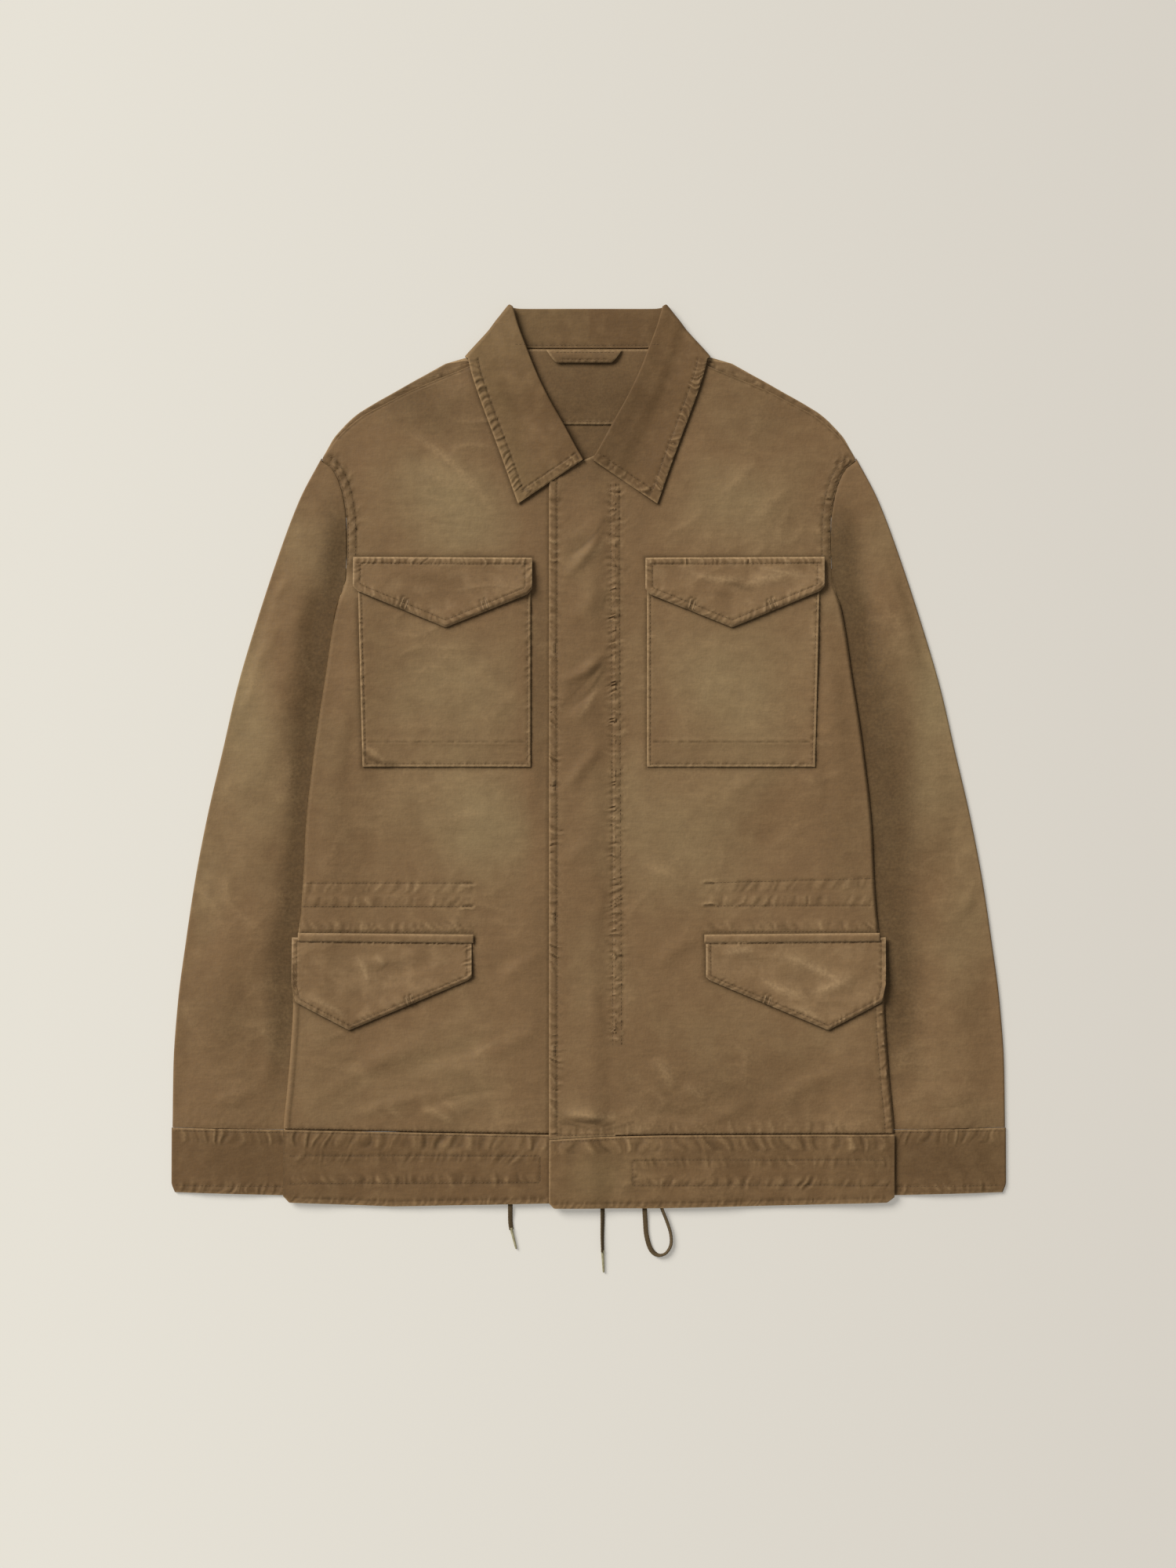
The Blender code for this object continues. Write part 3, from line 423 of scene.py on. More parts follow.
# Lines of a grid near an edge, by their distance from it
EDGE_MARKS = (0, 0.35, 0.9, 1.7, 2.8)
BACK_MARKS = (0, 0.8, 2, 3.6)  # of the back, and at a sleeve's outer fold
FOLD_MARKS = (0, 1.6, 4)  # at a sleeve's inner fold
SIDE_MARKS = (0, 0.4, 1.1, 2.2, 3.6, 5.2, 6.8, 8.2)  # at a front's side seam
FLAP_MARKS = EDGE_MARKS + (4.2, 5.4, 6.3, 7.2, 8.6)
FLY_MARKS = EDGE_MARKS + (4.2, 5.6, 6.6, 7.6, 9)
LEAF_MARKS = EDGE_MARKS + (4.2, 5.6, 7.0, 8.0, 9.0, 10.4)
# The same, as parts of the whole run
BAND_MARKS = (0, 0.007, 0.016, 0.03, 0.05)
CUFF_MARKS = (0, 0.008, 0.02, 0.04)
NECK_MARKS = (0, 0.01, 0.03)
EDGE_DROP = 0.45  # how far the cloth's edge turns down
EDGE_ROUND = 1.5  # within this distance


def across(total, count, near=EDGE_MARKS, far=None):
    """Where a grid's lines cross runs of these lengths: fixed near the ends, even between."""
    total = np.asarray(total, dtype=float).reshape(-1, 1)
    near, far = np.array(near), np.array(far or near)[::-1]
    middle = np.linspace(0, 1, count + 2)[1:-1]
    between = near[-1] + (total - near[-1] - far[0]) * middle
    return np.hstack([near + 0 * total, between, total - far])


def graded(stops):
    """Values from the first stop to the last, with the spacing that the (value, spacing) stops give."""
    values, spacings = np.array(stops, dtype=float).T
    order = np.argsort(values)
    way = np.sign(values[-1] - values[0])
    value = values[0]
    result = [value]
    while (values[-1] - value) * way > spacings[-1] * 0.5:
        value += way * np.interp(value, values[order], spacings[order])
        result.append(value)
    result[-1] = values[-1]
    return np.array(result)


def edge_distance(x, y):
    """How far each point of a grid is from the grid's border, along its lines."""
    steps = np.hypot(np.diff(x, axis=1), np.diff(y, axis=1))
    run = np.pad(np.cumsum(steps, axis=1), ((0, 0), (1, 0)))
    rises = np.hypot(np.diff(x, axis=0), np.diff(y, axis=0))
    climb = np.pad(np.cumsum(rises, axis=0), ((1, 0), (0, 0)))
    return run, run[:, -1:] - run, climb, climb[-1:] - climb


def edge_run(x, y):
    """How far each point of a grid is from its first or last column."""
    start, end, _, _ = edge_distance(x, y)
    return np.minimum(start, end)


def round_edges(x, y, sides=(1, 1, 1, 1), drop=EDGE_DROP):
    """The drop of a grid's edges, and how worn they are: for the first and last column and row."""
    fall, worn = 0, 0
    for distance, used in zip(edge_distance(x, y), sides):
        fall = np.maximum(fall, used * (1 - ease(distance, -0.4, EDGE_ROUND)))
        worn = np.maximum(worn, used * np.exp(-((distance / EDGE_ROUND) ** 2)))
    return -drop * fall, worn


# Pale, greener places, as ovals: (x, y, width, height, turn in degrees, strength). A place with a
# negative strength is deeper.
FADES = (
    (-125, 236, 50, 50, 35, 0.8), (-98, 196, 40, 22, 0, 0.3), (132, 230, 58, 40, -30, 0.6),
    (-95, -62, 46, 42, 20, 1.0), (-150, -30, 50, 30, 0, 0.3), (82, -80, 40, 46, -15, 0.6),
    (-127, 60, 52, 50, 0, 0.55), (128, 66, 54, 56, 0, 0.8), (40, -30, 14, 60, 0, 0.3),
    (-8, 196, 14, 34, 0, 0.3), (-8, -200, 14, 60, 0, 0.2), (-120, -280, 70, 40, 10, 0.25),
    (-190, -190, 50, 26, 15, 0.25), (190, -190, 50, 24, -15, 0.35), (-318, 60, 30, 110, 12, 0.95),
    (-344, -110, 22, 80, 6, 0.4), (-262, 196, 22, 40, 20, 0.4), (312, 62, 34, 110, -12, 1.0),
    (338, -110, 22, 90, -6, 0.5), (262, 190, 24, 44, -20, 0.4), (-44, 50, 12, 120, 0, -0.85),
    (-42, -230, 10, 90, 0, -0.35), (110, -295, 90, 40, 0, -0.55), (230, -30, 22, 90, 0, -0.3),
    (-232, -30, 22, 90, 0, -0.25), (-150, 312, 64, 26, -34, -1.0), (160, 300, 56, 24, 38, -0.5),
    (6, -376, 26, 22, 0, 0.9), (0, 310, 60, 60, 0, -1.2), (314, -361, 56, 34, 0, -0.8),
    (-314, -361, 56, 34, 0, -0.35), (-330, -235, 30, 60, 0, -0.5), (-10, 50, 16, 60, 0, -0.45),
    (274, -30, 14, 90, -8, -0.5), (216, -67, 22, 40, 0, -0.35), (-127, 154, 60, 18, 0, -0.4),
)
SHADE = 0.6  # the dark mark of the darkest place


def fading(x, y):
    """How faded the cloth is at each point, from -1, deeper, to 1."""
    total = 0
    for middle_x, middle_y, width, height, turn, strength in FADES:
        angle = radians(turn)
        dx, dy = x - middle_x, y - middle_y
        u = (dx * cos(angle) + dy * sin(angle)) / width
        v = (dy * cos(angle) - dx * sin(angle)) / height
        total = total + strength * np.exp(-0.8 * (u * u + v * v))
    return np.clip(total, -1, 1)


# ---- Making the pieces ----


def grid_faces(rows, columns, closed, ring=False):
    """The faces of a grid, which may meet itself at the last column, and at the last row."""
    steps = np.arange(rows if ring else rows - 1), np.arange(columns if closed else columns - 1)
    row, column = np.meshgrid(*steps, indexing="ij")
    next_row, next_column = (row + 1) % rows, (column + 1) % columns
    corners = [
        row * columns + column, row * columns + next_column,
        next_row * columns + next_column, next_row * columns + column,
    ]
    return np.stack([corner.ravel() for corner in corners], axis=1)


def mesh_from(name, points, faces, marks, caps=()):
    """A smooth mesh from arrays of points, in millimetres, and faces, with its marks."""
    mesh = bpy.data.meshes.new(name)
    mesh.vertices.add(len(points))
    mesh.vertices.foreach_set("co", (points * MM).astype(np.float32).ravel())
    corners = np.concatenate([faces.ravel(), *caps])
    sizes = [faces.shape[1]] * len(faces) + [len(cap) for cap in caps]
    mesh.loops.add(len(corners))
    mesh.loops.foreach_set("vertex_index", corners.astype(np.int32))
    mesh.polygons.add(len(sizes))
    mesh.polygons.foreach_set("loop_start", np.concatenate([[0], np.cumsum(sizes)[:-1]]).astype(np.int32))
    mesh.update(calc_edges=True)
    mesh.shade_smooth()
    for mark, values in marks.items():
        attribute = mesh.attributes.new(mark, "FLOAT", "POINT")
        attribute.data.foreach_set("value", np.asarray(values, dtype=np.float32).ravel())
    mesh.validate()
    return mesh


def add_object(name, mesh, material):
    """A new piece that rides with the jacket, in one of the materials below."""
    piece = bpy.data.objects.new(name, mesh)
    piece.data.materials.append(materials[material])
    bpy.context.scene.collection.objects.link(piece)
    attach(piece, "root")
    return piece


CRINKLE_WEAR = 0.22  # the marks of wear on the ridges of washing, and on creases
CREASE_WEAR = 0.6
# strength of the dark marks in the troughs of sharp creases: partly dye, partly painted shade
CREASE_DYE_AND_SHADE = 0.75
BAR_WIDTH = 1.1
BAR_HEIGHT = 0.6
BAR_WEAR = 0.8
HALO = (0.8, 2.2)  # strength and width of the painted shadow beside the edge of what lies on the cloth
UNDER_STEP = 8  # the underside has one row to this many of the top
TUBE_WALL = 1.0
LEAST_WALL = 0.3
SHARP_ANGLE = 50  # the cloth's faces meet in a crisp edge above this angle


class Cloth:
    """A piece of cloth on a grid of points, which is made into a mesh once it has its form."""

    def __init__(self, name, x, y, z, closed=False):
        """Start from the grid of its top, or of all round a tube, which is closed."""
        self.name = name
        self.x, self.y, self.z = np.broadcast_arrays(x, y, z)
        self.z = np.array(self.z, dtype=float)
        self.closed = closed
        self.pale = np.zeros(self.x.shape)
        # dark marks: partly dye, partly painted shade and shadow
        self.deep = np.zeros(self.x.shape)
        self.rows = []
        self.bars = []
        self.smooth_z = self.z.copy()
        self.rolled = False
        self.tone = 0.0
        self.faded = 0.0

    def wear(self, pale, deep=0):
        """Add marks of wear and dark marks of dye and painted shade, where they are stronger than those
        already there.
        """
        self.pale = np.maximum(self.pale, pale)
        self.deep = np.maximum(self.deep, deep)

    def crinkled(self, seed, height, where):
        """Add the faint ridges of washing."""
        rise, worn = crinkle(abs(self.x), self.y, seed, height)
        self.z += rise * where
        self.wear(CRINKLE_WEAR * worn * where)

    def marked(self, creases, where=1.0):
        """Add the marks of some creases: wear on their crests, and dye and painted shade in their troughs.
        """
        worn, dye_and_shade = crease_wear(creases, self.x, self.y)
        self.wear(CREASE_WEAR * worn * where, CREASE_DYE_AND_SHADE * dye_and_shade * where)

    def creased(self, creases):
        """Add some ridges and troughs of its own, with their marks."""
        self.z += crease_height(creases, self.x, self.y)
        self.marked(creases)

    def from_line(self, line):
        """Distance of each point from a broken line."""
        return locate(np.array(line, dtype=float), self.x, self.y)[0]

    def barred(self, bars, slit=False):
        """Add the raised marks of bartacks, or the sunk ones of buttonholes."""
        for bar in bars:
            distance = self.from_line(bar)
            middle = np.exp(-((distance / BAR_WIDTH) ** 2))
            rim = np.exp(-(((distance - 2 * BAR_WIDTH) / BAR_WIDTH) ** 2))
            self.z += BAR_HEIGHT * (rim - middle if slit else middle - 0.5 * rim)
            # Pale wear on what stands up; painted shade in a sunk slit, and beside a raised bar.
            self.wear(BAR_WEAR * (rim if slit else middle), middle if slit else rim)
        self.bars = bars

    def shaded(self, strength, width, *lines):
        """Darken the cloth along lines: seams, painted shade on edges and in creases, and painted shadow
        beside what lies on it.
        """
        for line in lines:
            self.wear(0, strength * np.exp(-((self.from_line(line) / width) ** 2)))

    def sewn(self, rows, edges=(1, 1, 1, 1), drop=EDGE_DROP):
        """Add rows of sewing and rounded, worn edges."""
        rise, pale, deep = sew(rows, self.x, self.y)
        fall, worn = round_edges(self.x, self.y, edges, drop)
        self.z += rise + fall
        self.pale = np.maximum.reduce([self.pale, pale, worn])
        self.deep = np.maximum(self.deep, deep) * (1 - worn)
        self.rows = rows

    def normals(self):
        """The unit normals of the grid's points, upward at the highest."""
        points = np.stack([self.x, self.y, self.z], axis=2)
        if self.closed:
            turned = np.concatenate([points[:, -1:], points, points[:, :1]], axis=1)
            along = np.gradient(turned, axis=1)[:, 1:-1]
        else:
            along = np.gradient(points, axis=1)
        normals = np.cross(along, np.gradient(points, axis=0))
        normals /= np.maximum(np.linalg.norm(normals, axis=2), 1e-9)[:, :, None]
        highest = np.unravel_index(np.argmax(self.z), self.z.shape)
        return points, normals * np.sign(normals[highest][2])

    def wall(self, points, normals, under):
        """Points and faces of the wall: its top, and its underside with fewer rows."""
        rows, columns = self.x.shape
        if self.closed or self.rolled:
            inner = points[under] - normals[under] * TUBE_WALL
        else:
            inner = points[under].copy()
            inner[:, :, 2] = np.minimum(self.smooth_z[under] - WALL, inner[:, :, 2] - LEAST_WALL)
        ring = np.concatenate([points, inner])
        faces = grid_faces(len(ring), columns, self.closed, ring=True)
        caps = [] if self.closed else end_caps(rows, columns, under)
        top_faces = grid_faces(rows, columns, self.closed)
        flat = points.reshape(-1, 3)
        corners = flat[top_faces[np.argmax(flat[top_faces][:, :, 2].mean(axis=1))]]
        if np.cross(corners[2] - corners[0], corners[3] - corners[1])[2] < 0:
            faces = faces[:, ::-1]
            caps = [cap[::-1] for cap in caps]
        self.tree = BVHTree.FromPolygons(flat.tolist(), top_faces.tolist())
        return ring.reshape(-1, 3), faces, caps

    def marks(self, under):
        """The marks that the materials read, on the top and the underside."""
        faded = np.clip(fading(self.x, self.y) + self.faded, -1, 1)
        deep = np.maximum(self.deep, -SHADE * faded)
        marks = {"pale": self.pale, "deep": deep + self.tone * (1 - deep), "fade": faded}
        return {
            mark: np.clip(np.concatenate([values, values[under]]), 0, 1)
            for mark, values in marks.items()
        }

    def make(self, material):
        """Make the mesh with its wall and its stitches.
        """
        rows = len(self.x)
        under = np.unique(np.append(np.arange(0, rows, UNDER_STEP), rows - 1))[::-1]
        points, faces, caps = self.wall(*self.normals(), under)
        name = self.name + "_cloth"
        mesh = mesh_from(name, points, faces, self.marks(under), caps)
        piece = add_object(name, mesh, material)
        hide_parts(self.name)
        piece.data.set_sharp_from_angle(angle=radians(SHARP_ANGLE))
        add_stitches(self)


def end_caps(rows, columns, under):
    """Faces that close a wall at its first and last column, one between two rows of the underside."""
    caps = []
    for index, (high, low) in enumerate(zip(under, under[1:])):
        cap = np.append(np.arange(low, high + 1), [rows + index, rows + index + 1]) * columns
        caps += [cap, cap[::-1] + columns - 1]
    return caps


STITCH_PITCH = 3.3
BAR_PITCH = 0.9
STITCH_LENGTH = 2.5
THREAD_WIDTH = 0.55
THREAD_LIFT = 0.05  # of a thread's middle off the cloth
RING_PLACES = (-0.5, 0, 0.5)  # rings of a thread along it, and their sizes
RING_SIZES = (0.3, 1, 0.3)
RING_SIDES = 4
CAST_HEIGHT = 60  # above all the cloth


def stitch_places(tree, line, pitch):
    """Centres, directions and normals of stitches along a line, on a surface seen from above."""
    line = np.array(line, dtype=float)
    sizes = np.hypot(*np.diff(line, axis=0).T)
    marks = np.concatenate([[0], np.cumsum(sizes)])
    places = []
    for length in np.arange(pitch / 2, marks[-1], pitch):
        index = min(int(np.searchsorted(marks, length)) - 1, len(sizes) - 1)
        run = (line[index + 1] - line[index]) / sizes[index]
        point = line[index] + run * (length - marks[index])
        hit, normal, _, _ = tree.ray_cast(Vector((*point, CAST_HEIGHT)), Vector((0, 0, -1)))
        if hit is None:
            continue
        if normal.z < 0:
            normal = -normal
        direction = Vector((*run, 0))
        direction = (direction - normal * direction.dot(normal)).normalized()
        places.append((hit, direction, normal))
    return places


def thread_mesh(name, places):
    """One mesh of short threads at these places."""
    ring = [
        (place, size * cos(2 * pi * side / RING_SIDES), size * sin(2 * pi * side / RING_SIDES))
        for place, size in zip(RING_PLACES, RING_SIZES) for side in range(RING_SIDES)
    ]
    ring = np.array(ring) * (STITCH_LENGTH, THREAD_WIDTH / 2, THREAD_WIDTH / 2)
    centres, along, up = (np.array(column) for column in zip(*places))
    aside = np.cross(up, along)
    points = (
        centres[:, None] + ring[None, :, :1] * along[:, None] + ring[None, :, 1:2] * aside[:, None]
        + (ring[None, :, 2:] + THREAD_LIFT) * up[:, None]
    )
    count = len(ring)
    faces = []
    for first in range(0, count - RING_SIDES, RING_SIDES):
        for side in range(RING_SIDES):
            after = first + (side + 1) % RING_SIDES
            faces.append((first + side, first + RING_SIDES + side, after + RING_SIDES, after))
    faces.append(tuple(range(RING_SIDES)))
    faces.append(tuple(range(count - 1, count - 1 - RING_SIDES, -1)))
    faces = np.array(faces)[None] + np.arange(len(places))[:, None, None] * count
    return mesh_from(name, points.reshape(-1, 3), faces.reshape(-1, 4)[:, ::-1], {})


def add_stitches(cloth):
    """The stitches of a piece's rows of sewing and of its bars."""
    lines = [(row.line, STITCH_PITCH) for row in cloth.rows if row.stitched]
    lines += [(bar, BAR_PITCH) for bar in cloth.bars]
    places = []
    for line, pitch in lines:
        places += stitch_places(cloth.tree, line, pitch)
    if places:
        name = cloth.name + "_stitches"
        add_object(name, thread_mesh(name, places), "thread")


# ---- Materials ----


def linear(red, green, blue):
    """A colour given as display values from 0 to 255, made linear."""
    values = np.array([red, green, blue]) / 255
    values = np.where(values < 0.04045, values / 12.92, ((values + 0.055) / 1.055) ** 2.4)
    return (*values.tolist(), 1)


class Shader:
    """A material's node tree, with short ways to add nodes."""

    def __init__(self, name):
        """Start a material with its principled shader and the object's coordinates."""
        self.material = bpy.data.materials.new(name)
        self.material.use_nodes = True
        self.tree = self.material.node_tree
        self.surface = self.tree.nodes["Principled BSDF"]
        self.place = self.add("TexCoord").outputs["Object"]

    def add(self, kind, settings=(), **inputs):
        """Add a node, set its properties, and set or link its inputs."""
        node = self.tree.nodes.new("ShaderNode" + kind)
        for key, value in dict(settings).items():
            setattr(node, key, value)
        for key, value in inputs.items():
            self.put(node.inputs[key], value)
        return node

    def put(self, socket, value):
        """Link a socket to another, or set its value."""
        if isinstance(value, bpy.types.NodeSocket):
            self.tree.links.new(value, socket)
        else:
            socket.default_value = value

    def dress(self, socket, value):
        """Link or set a socket of the surface."""
        self.put(self.surface.inputs[socket], value)

    def mark(self, name):
        """One of the mesh's marks."""
        return self.add("Attribute", {"attribute_name": name}).outputs["Fac"]

    def math(self, kind, *values):
        """A calculation on one to three values."""
        node = self.add("Math", {"operation": kind})
        for socket, value in zip(node.inputs, values):
            self.put(socket, value)
        return node.outputs[0]

    def noise(self, size, detail=3.0, stretch=(1, 1, 1)):
        """Noise with features of about a size in millimetres, stretched along the axes."""
        scale = [1 / (size * MM * part) for part in stretch]
        place = self.add("Mapping", Vector=self.place, Scale=scale).outputs[0]
        return self.add("TexNoise", Vector=place, Scale=1.0, Detail=detail, Roughness=0.55).outputs[0]

    def spread(self, value, low, high, start=0.0, end=1.0):
        """Stretch the range from low to high into start to end."""
        node = self.add("MapRange", Value=value)
        for key, number in (("From Min", low), ("From Max", high), ("To Min", start), ("To Max", end)):
            node.inputs[key].default_value = number
        return node.outputs[0]

    def blend(self, part, first, second, kind="MIX"):
        """Mix two colours."""
        node = self.add("Mix", {"data_type": "RGBA", "blend_type": kind})
        for index, value in ((0, part), (6, first), (7, second)):
            self.put(node.inputs[index], value)
        return node.outputs[2]

    def bump(self, height, strength, distance, normal=None):
        """A bump of a height in millimetres."""
        node = self.add("Bump", Height=height, Strength=strength, Distance=distance * MM)
        if normal is not None:
            self.put(node.inputs["Normal"], normal)
        return node.outputs[0]


MIDRANGE = (0.3, 0.7)  # where most of a noise's values are
SPECULAR = 0.22
SHEEN = {"Sheen Weight": 0.03, "Sheen Roughness": 0.45, "Sheen Tint": (0.9, 0.85, 0.75, 1)}


def cloth_material(name, patches, *colours):
    """Washed, garment-dyed cotton, with its fades, worn ridges, and deep marks that are partly dye and
    partly painted shade.
    """
    body, faded, pale, deep = (linear(*colour) for colour in colours)
    shader = Shader(name)
    swell = shader.noise(95, 2.0)
    mottle = shader.noise(13, 4.0)
    grain = shader.noise(2.4, 3.0)
    weft = shader.noise(1.0, 2.0, (7, 0.55, 1))
    warp = shader.noise(1.0, 2.0, (0.55, 7, 1))
    fibres = shader.math("ADD", weft, warp)
    streak = shader.noise(5, 4.0, (5, 0.7, 1))
    fade = shader.math("ADD", shader.mark("fade"), shader.spread(swell, 0.35, 0.7, -0.15, 0.2))
    fade = shader.math("ADD", fade, shader.spread(mottle, *MIDRANGE, -0.08, 0.1))
    colour = shader.blend(shader.spread(fade, 0.0, 1.0), body, faded)
    patch = shader.spread(shader.noise(15, 2.5), 0.48, 0.64, 0.0, patches)
    colour = shader.blend(patch, colour, pale)
    worn = shader.math("MULTIPLY", shader.mark("pale"), shader.spread(grain, 0.3, 0.65, 0.45, 1.0))
    colour = shader.blend(shader.spread(worn, 0.0, 1.0, 0.0, 0.9), colour, pale)
    # The deep mark: dye left in hollows, painted shade in grooves, creases and beside the body, and painted
    # shadow under edges.
    dye_and_shade = shader.math("MULTIPLY", shader.mark("deep"), shader.spread(grain, *MIDRANGE, 1.0, 0.7))
    colour = shader.blend(shader.spread(dye_and_shade, 0.0, 1.0, 0.0, 0.7), colour, deep)
    light = shader.spread(fibres, 0.6, 1.4, 0.93, 1.07)
    for noise in (mottle, streak, grain):
        light = shader.math("MULTIPLY", light, shader.spread(noise, *MIDRANGE, 0.95, 1.05))
    shade = shader.add("CombineColor", Red=light, Green=light, Blue=light).outputs[0]
    shader.dress("Base Color", shader.blend(1.0, colour, shade, "MULTIPLY"))
    shader.dress("Roughness", shader.spread(grain, *MIDRANGE, 0.64, 0.84))
    shader.dress("Specular IOR Level", SPECULAR)
    for socket, value in SHEEN.items():
        shader.dress(socket, value)
    crumple = shader.noise(5.5, 3.0, (1.4, 0.8, 1))
    normal = None
    for noise, strength, depth in (
        (mottle, 0.55, 1.1), (crumple, 0.4, 0.5), (grain, 0.35, 0.35), (fibres, 0.35, 0.12),
    ):
        normal = shader.bump(noise, strength, depth, normal)
    shader.dress("Normal", normal)
    return shader.material


def plain_material(name, roughness, grain, *colours):
    """A small piece's material: two close colours in a fine grain."""
    first, second = (linear(*colour) for colour in colours)
    shader = Shader(name)
    noise = shader.noise(grain, 3.0)
    shader.dress("Base Color", shader.blend(shader.spread(noise, 0.35, 0.65), first, second))
    shader.dress("Roughness", shader.spread(noise, *MIDRANGE, roughness, roughness + 0.1))
    shader.dress("Normal", shader.bump(noise, 0.3, 0.2))
    return shader.material


# How worn its patches are, then four colours: its own, and the faded, worn and deep ones (the deep one is
# dye and painted shade)
CLOTHS = {
    "canvas": (0.05, (116, 90, 60), (132, 111, 78), (160, 132, 95), (58, 41, 13)),
    "canvas_trim": (0.12, (103, 78, 49), (118, 95, 63), (148, 120, 84), (52, 36, 13)),
    "canvas_flap": (0.13, (116, 90, 60), (130, 106, 74), (168, 140, 103), (58, 41, 13)),
}
# Roughness, size of the grain, and two colours
PLAINS = {
    "thread": (0.8, 1.2, (112, 88, 58), (88, 66, 40)),
    "cord_cloth": (0.85, 0.9, (66, 51, 28), (88, 71, 42)),
    "tip_plastic": (0.45, 2.0, (158, 152, 120), (132, 124, 92)),
}
materials = {name: cloth_material(name, *row) for name, row in CLOTHS.items()}
materials |= {name: plain_material(name, *row) for name, row in PLAINS.items()}


# ---- The stage ----

LENS = 85
SENSOR = 36
VIEW_HEIGHT = 1400  # what the frame's height takes in, on the surface
VIEW_MIDDLE = (-0.7, -24.85)


def add_camera():
    """A camera straight above the jacket."""
    data = bpy.data.cameras.new("camera")
    data.lens = LENS
    data.sensor_width = SENSOR
    camera = bpy.data.objects.new("camera", data)
    bpy.context.scene.collection.objects.link(camera)
    camera.location = Vector((*VIEW_MIDDLE, VIEW_HEIGHT * LENS / SENSOR)) * MM
    bpy.context.scene.camera = camera


LIGHT_FROM = (-0.60, 0.52, 0.61)  # the way to the key light
LIGHT_ANGLE = 32
LIGHT_STRENGTH = 3.9
SURROUND = 0.30
FLOOR_GLOW = 0.4  # how much of the floor's light is its own, so that shadows on it are faint
FLOOR_HALF = 9000
FLOOR_LEVEL = -0.05


def add_sun():
    """A soft key light from the upper left."""
    data = bpy.data.lights.new("key", "SUN")
    data.angle = radians(LIGHT_ANGLE)
    data.energy = LIGHT_STRENGTH
    data.color = (1.0, 0.985, 0.96)
    light = bpy.data.objects.new("key", data)
    bpy.context.scene.collection.objects.link(light)
    light.rotation_euler = (-Vector(LIGHT_FROM)).to_track_quat("-Z", "Y").to_euler()


def floor_material():
    """A pale floor, painted a little paler on the left as light falling off across it, with part of its
    light its own.
    """
    shader = Shader("floor")
    across_floor = shader.add("SeparateXYZ", Vector=shader.place).outputs[0]
    # Painted light: the floor's colour is paler on the left, as light falling off from that side.
    part = shader.spread(across_floor, -0.5, 0.5)
    colour = shader.blend(part, linear(227, 223, 213), linear(212, 207, 198))
    unlit = shader.blend(1 - FLOOR_GLOW, (0, 0, 0, 1), colour)
    for socket, value in (
        ("Base Color", unlit), ("Emission Color", colour), ("Emission Strength", FLOOR_GLOW),
        ("Roughness", 0.95), ("Specular IOR Level", 0.1),
    ):
        shader.dress(socket, value)
    return shader.material


def add_stage():
    """The floor, the key light and a pale surround."""
    around = ((-1, -1), (1, -1), (1, 1), (-1, 1))
    corners = np.array([(x * FLOOR_HALF, y * FLOOR_HALF, FLOOR_LEVEL) for x, y in around])
    floor = bpy.data.objects.new("floor", mesh_from("floor", corners, np.array([[0, 1, 2, 3]]), {}))
    floor.data.materials.append(floor_material())
    bpy.context.scene.collection.objects.link(floor)
    add_sun()
    world = bpy.data.worlds.new("surround")
    world.use_nodes = True
    background = world.node_tree.nodes["Background"]
    background.inputs["Color"].default_value = (1.0, 0.99, 0.96, 1)
    background.inputs["Strength"].default_value = SURROUND
    bpy.context.scene.world = world
    bpy.context.scene.view_settings.view_transform = "Standard"


# ---- The drawcord ----

CORD_WIDTH = 4.3
CORD_THICKNESS = 1.7
INSIDE = 3.15  # heights of its middle, in the hem and on the surface
ON_SURFACE = 1.65
Cord = namedtuple("Cord", "name route turns tip")  # turns: (part of the length, degrees on edge)
CORDS = [
    Cord("hem_cord_short", [
        (-69.6, -374, INSIDE), (-70, -386, INSIDE), (-70, -399, INSIDE), (-70, -412, ON_SURFACE),
        (-69.8, -417, ON_SURFACE), (-69, -422.5, ON_SURFACE),
    ], [(0, 0), (0.6, 10), (1, 30)], (-64.6, -440)),
    Cord("hem_cord_long", [
        (12.6, -374, INSIDE), (12.3, -387, INSIDE), (12.3, -400, INSIDE), (12.3, -414, ON_SURFACE),
        (12.1, -429, ON_SURFACE), (12.4, -442.5, ON_SURFACE),
    ], [(0, 0), (0.6, 40), (1, 60)], (13.3, -461)),
    Cord("hem_cord_loop", [
        (48.6, -376, INSIDE), (49.2, -388, INSIDE), (49.7, -400, INSIDE), (50.4, -414, ON_SURFACE),
        (51.6, -428, ON_SURFACE), (55.4, -440, ON_SURFACE), (61.6, -445.2, ON_SURFACE),
        (68.6, -443.6, ON_SURFACE), (73.2, -436, ON_SURFACE), (73, -426, ON_SURFACE),
        (69.6, -415, ON_SURFACE), (65, -403, INSIDE), (61.4, -390, INSIDE), (58.6, -377, INSIDE),
    ], [(0, 0), (0.42, 5), (0.52, 75), (0.6, 62), (1, 55)], None),
]
CORD_STEP = 0.7
CORD_SIDES = 16
CORD_SQUARE = 0.7  # less than 1, so that its section is squarer than an oval
PLAIT_PITCH = 2.6
PLAIT_HEIGHT = 0.12


def smooth_route(corners, step):
    """Points at even steps along a smooth curve through the corners of a route."""
    knots = [Vector(corner) for corner in corners]
    knots = [knots[0] * 2 - knots[1]] + knots + [knots[-1] * 2 - knots[-2]]
    route = []
    for before, start, end, after in zip(knots, knots[1:], knots[2:], knots[3:]):
        count = max(1, round((end - start).length / step))
        for index in range(count):
            t = index / count
            bend = (before * 2 - start * 5 + end * 4 - after) * t * t
            twist = (start * 3 - before - end * 3 + after) * t**3
            route.append((start * 2 + (end - before) * t + bend + twist) / 2)
    return np.array(route + [knots[-2]])


def turned_mesh(name, rings):
    """A closed mesh of rings of points, each a row of the array."""
    rows, columns = rings.shape[:2]
    first = np.arange(columns)
    last = first[::-1] + (rows - 1) * columns
    faces = grid_faces(rows, columns, True)[:, ::-1]
    return mesh_from(name, rings.reshape(-1, 3), faces, {}, [first, last])


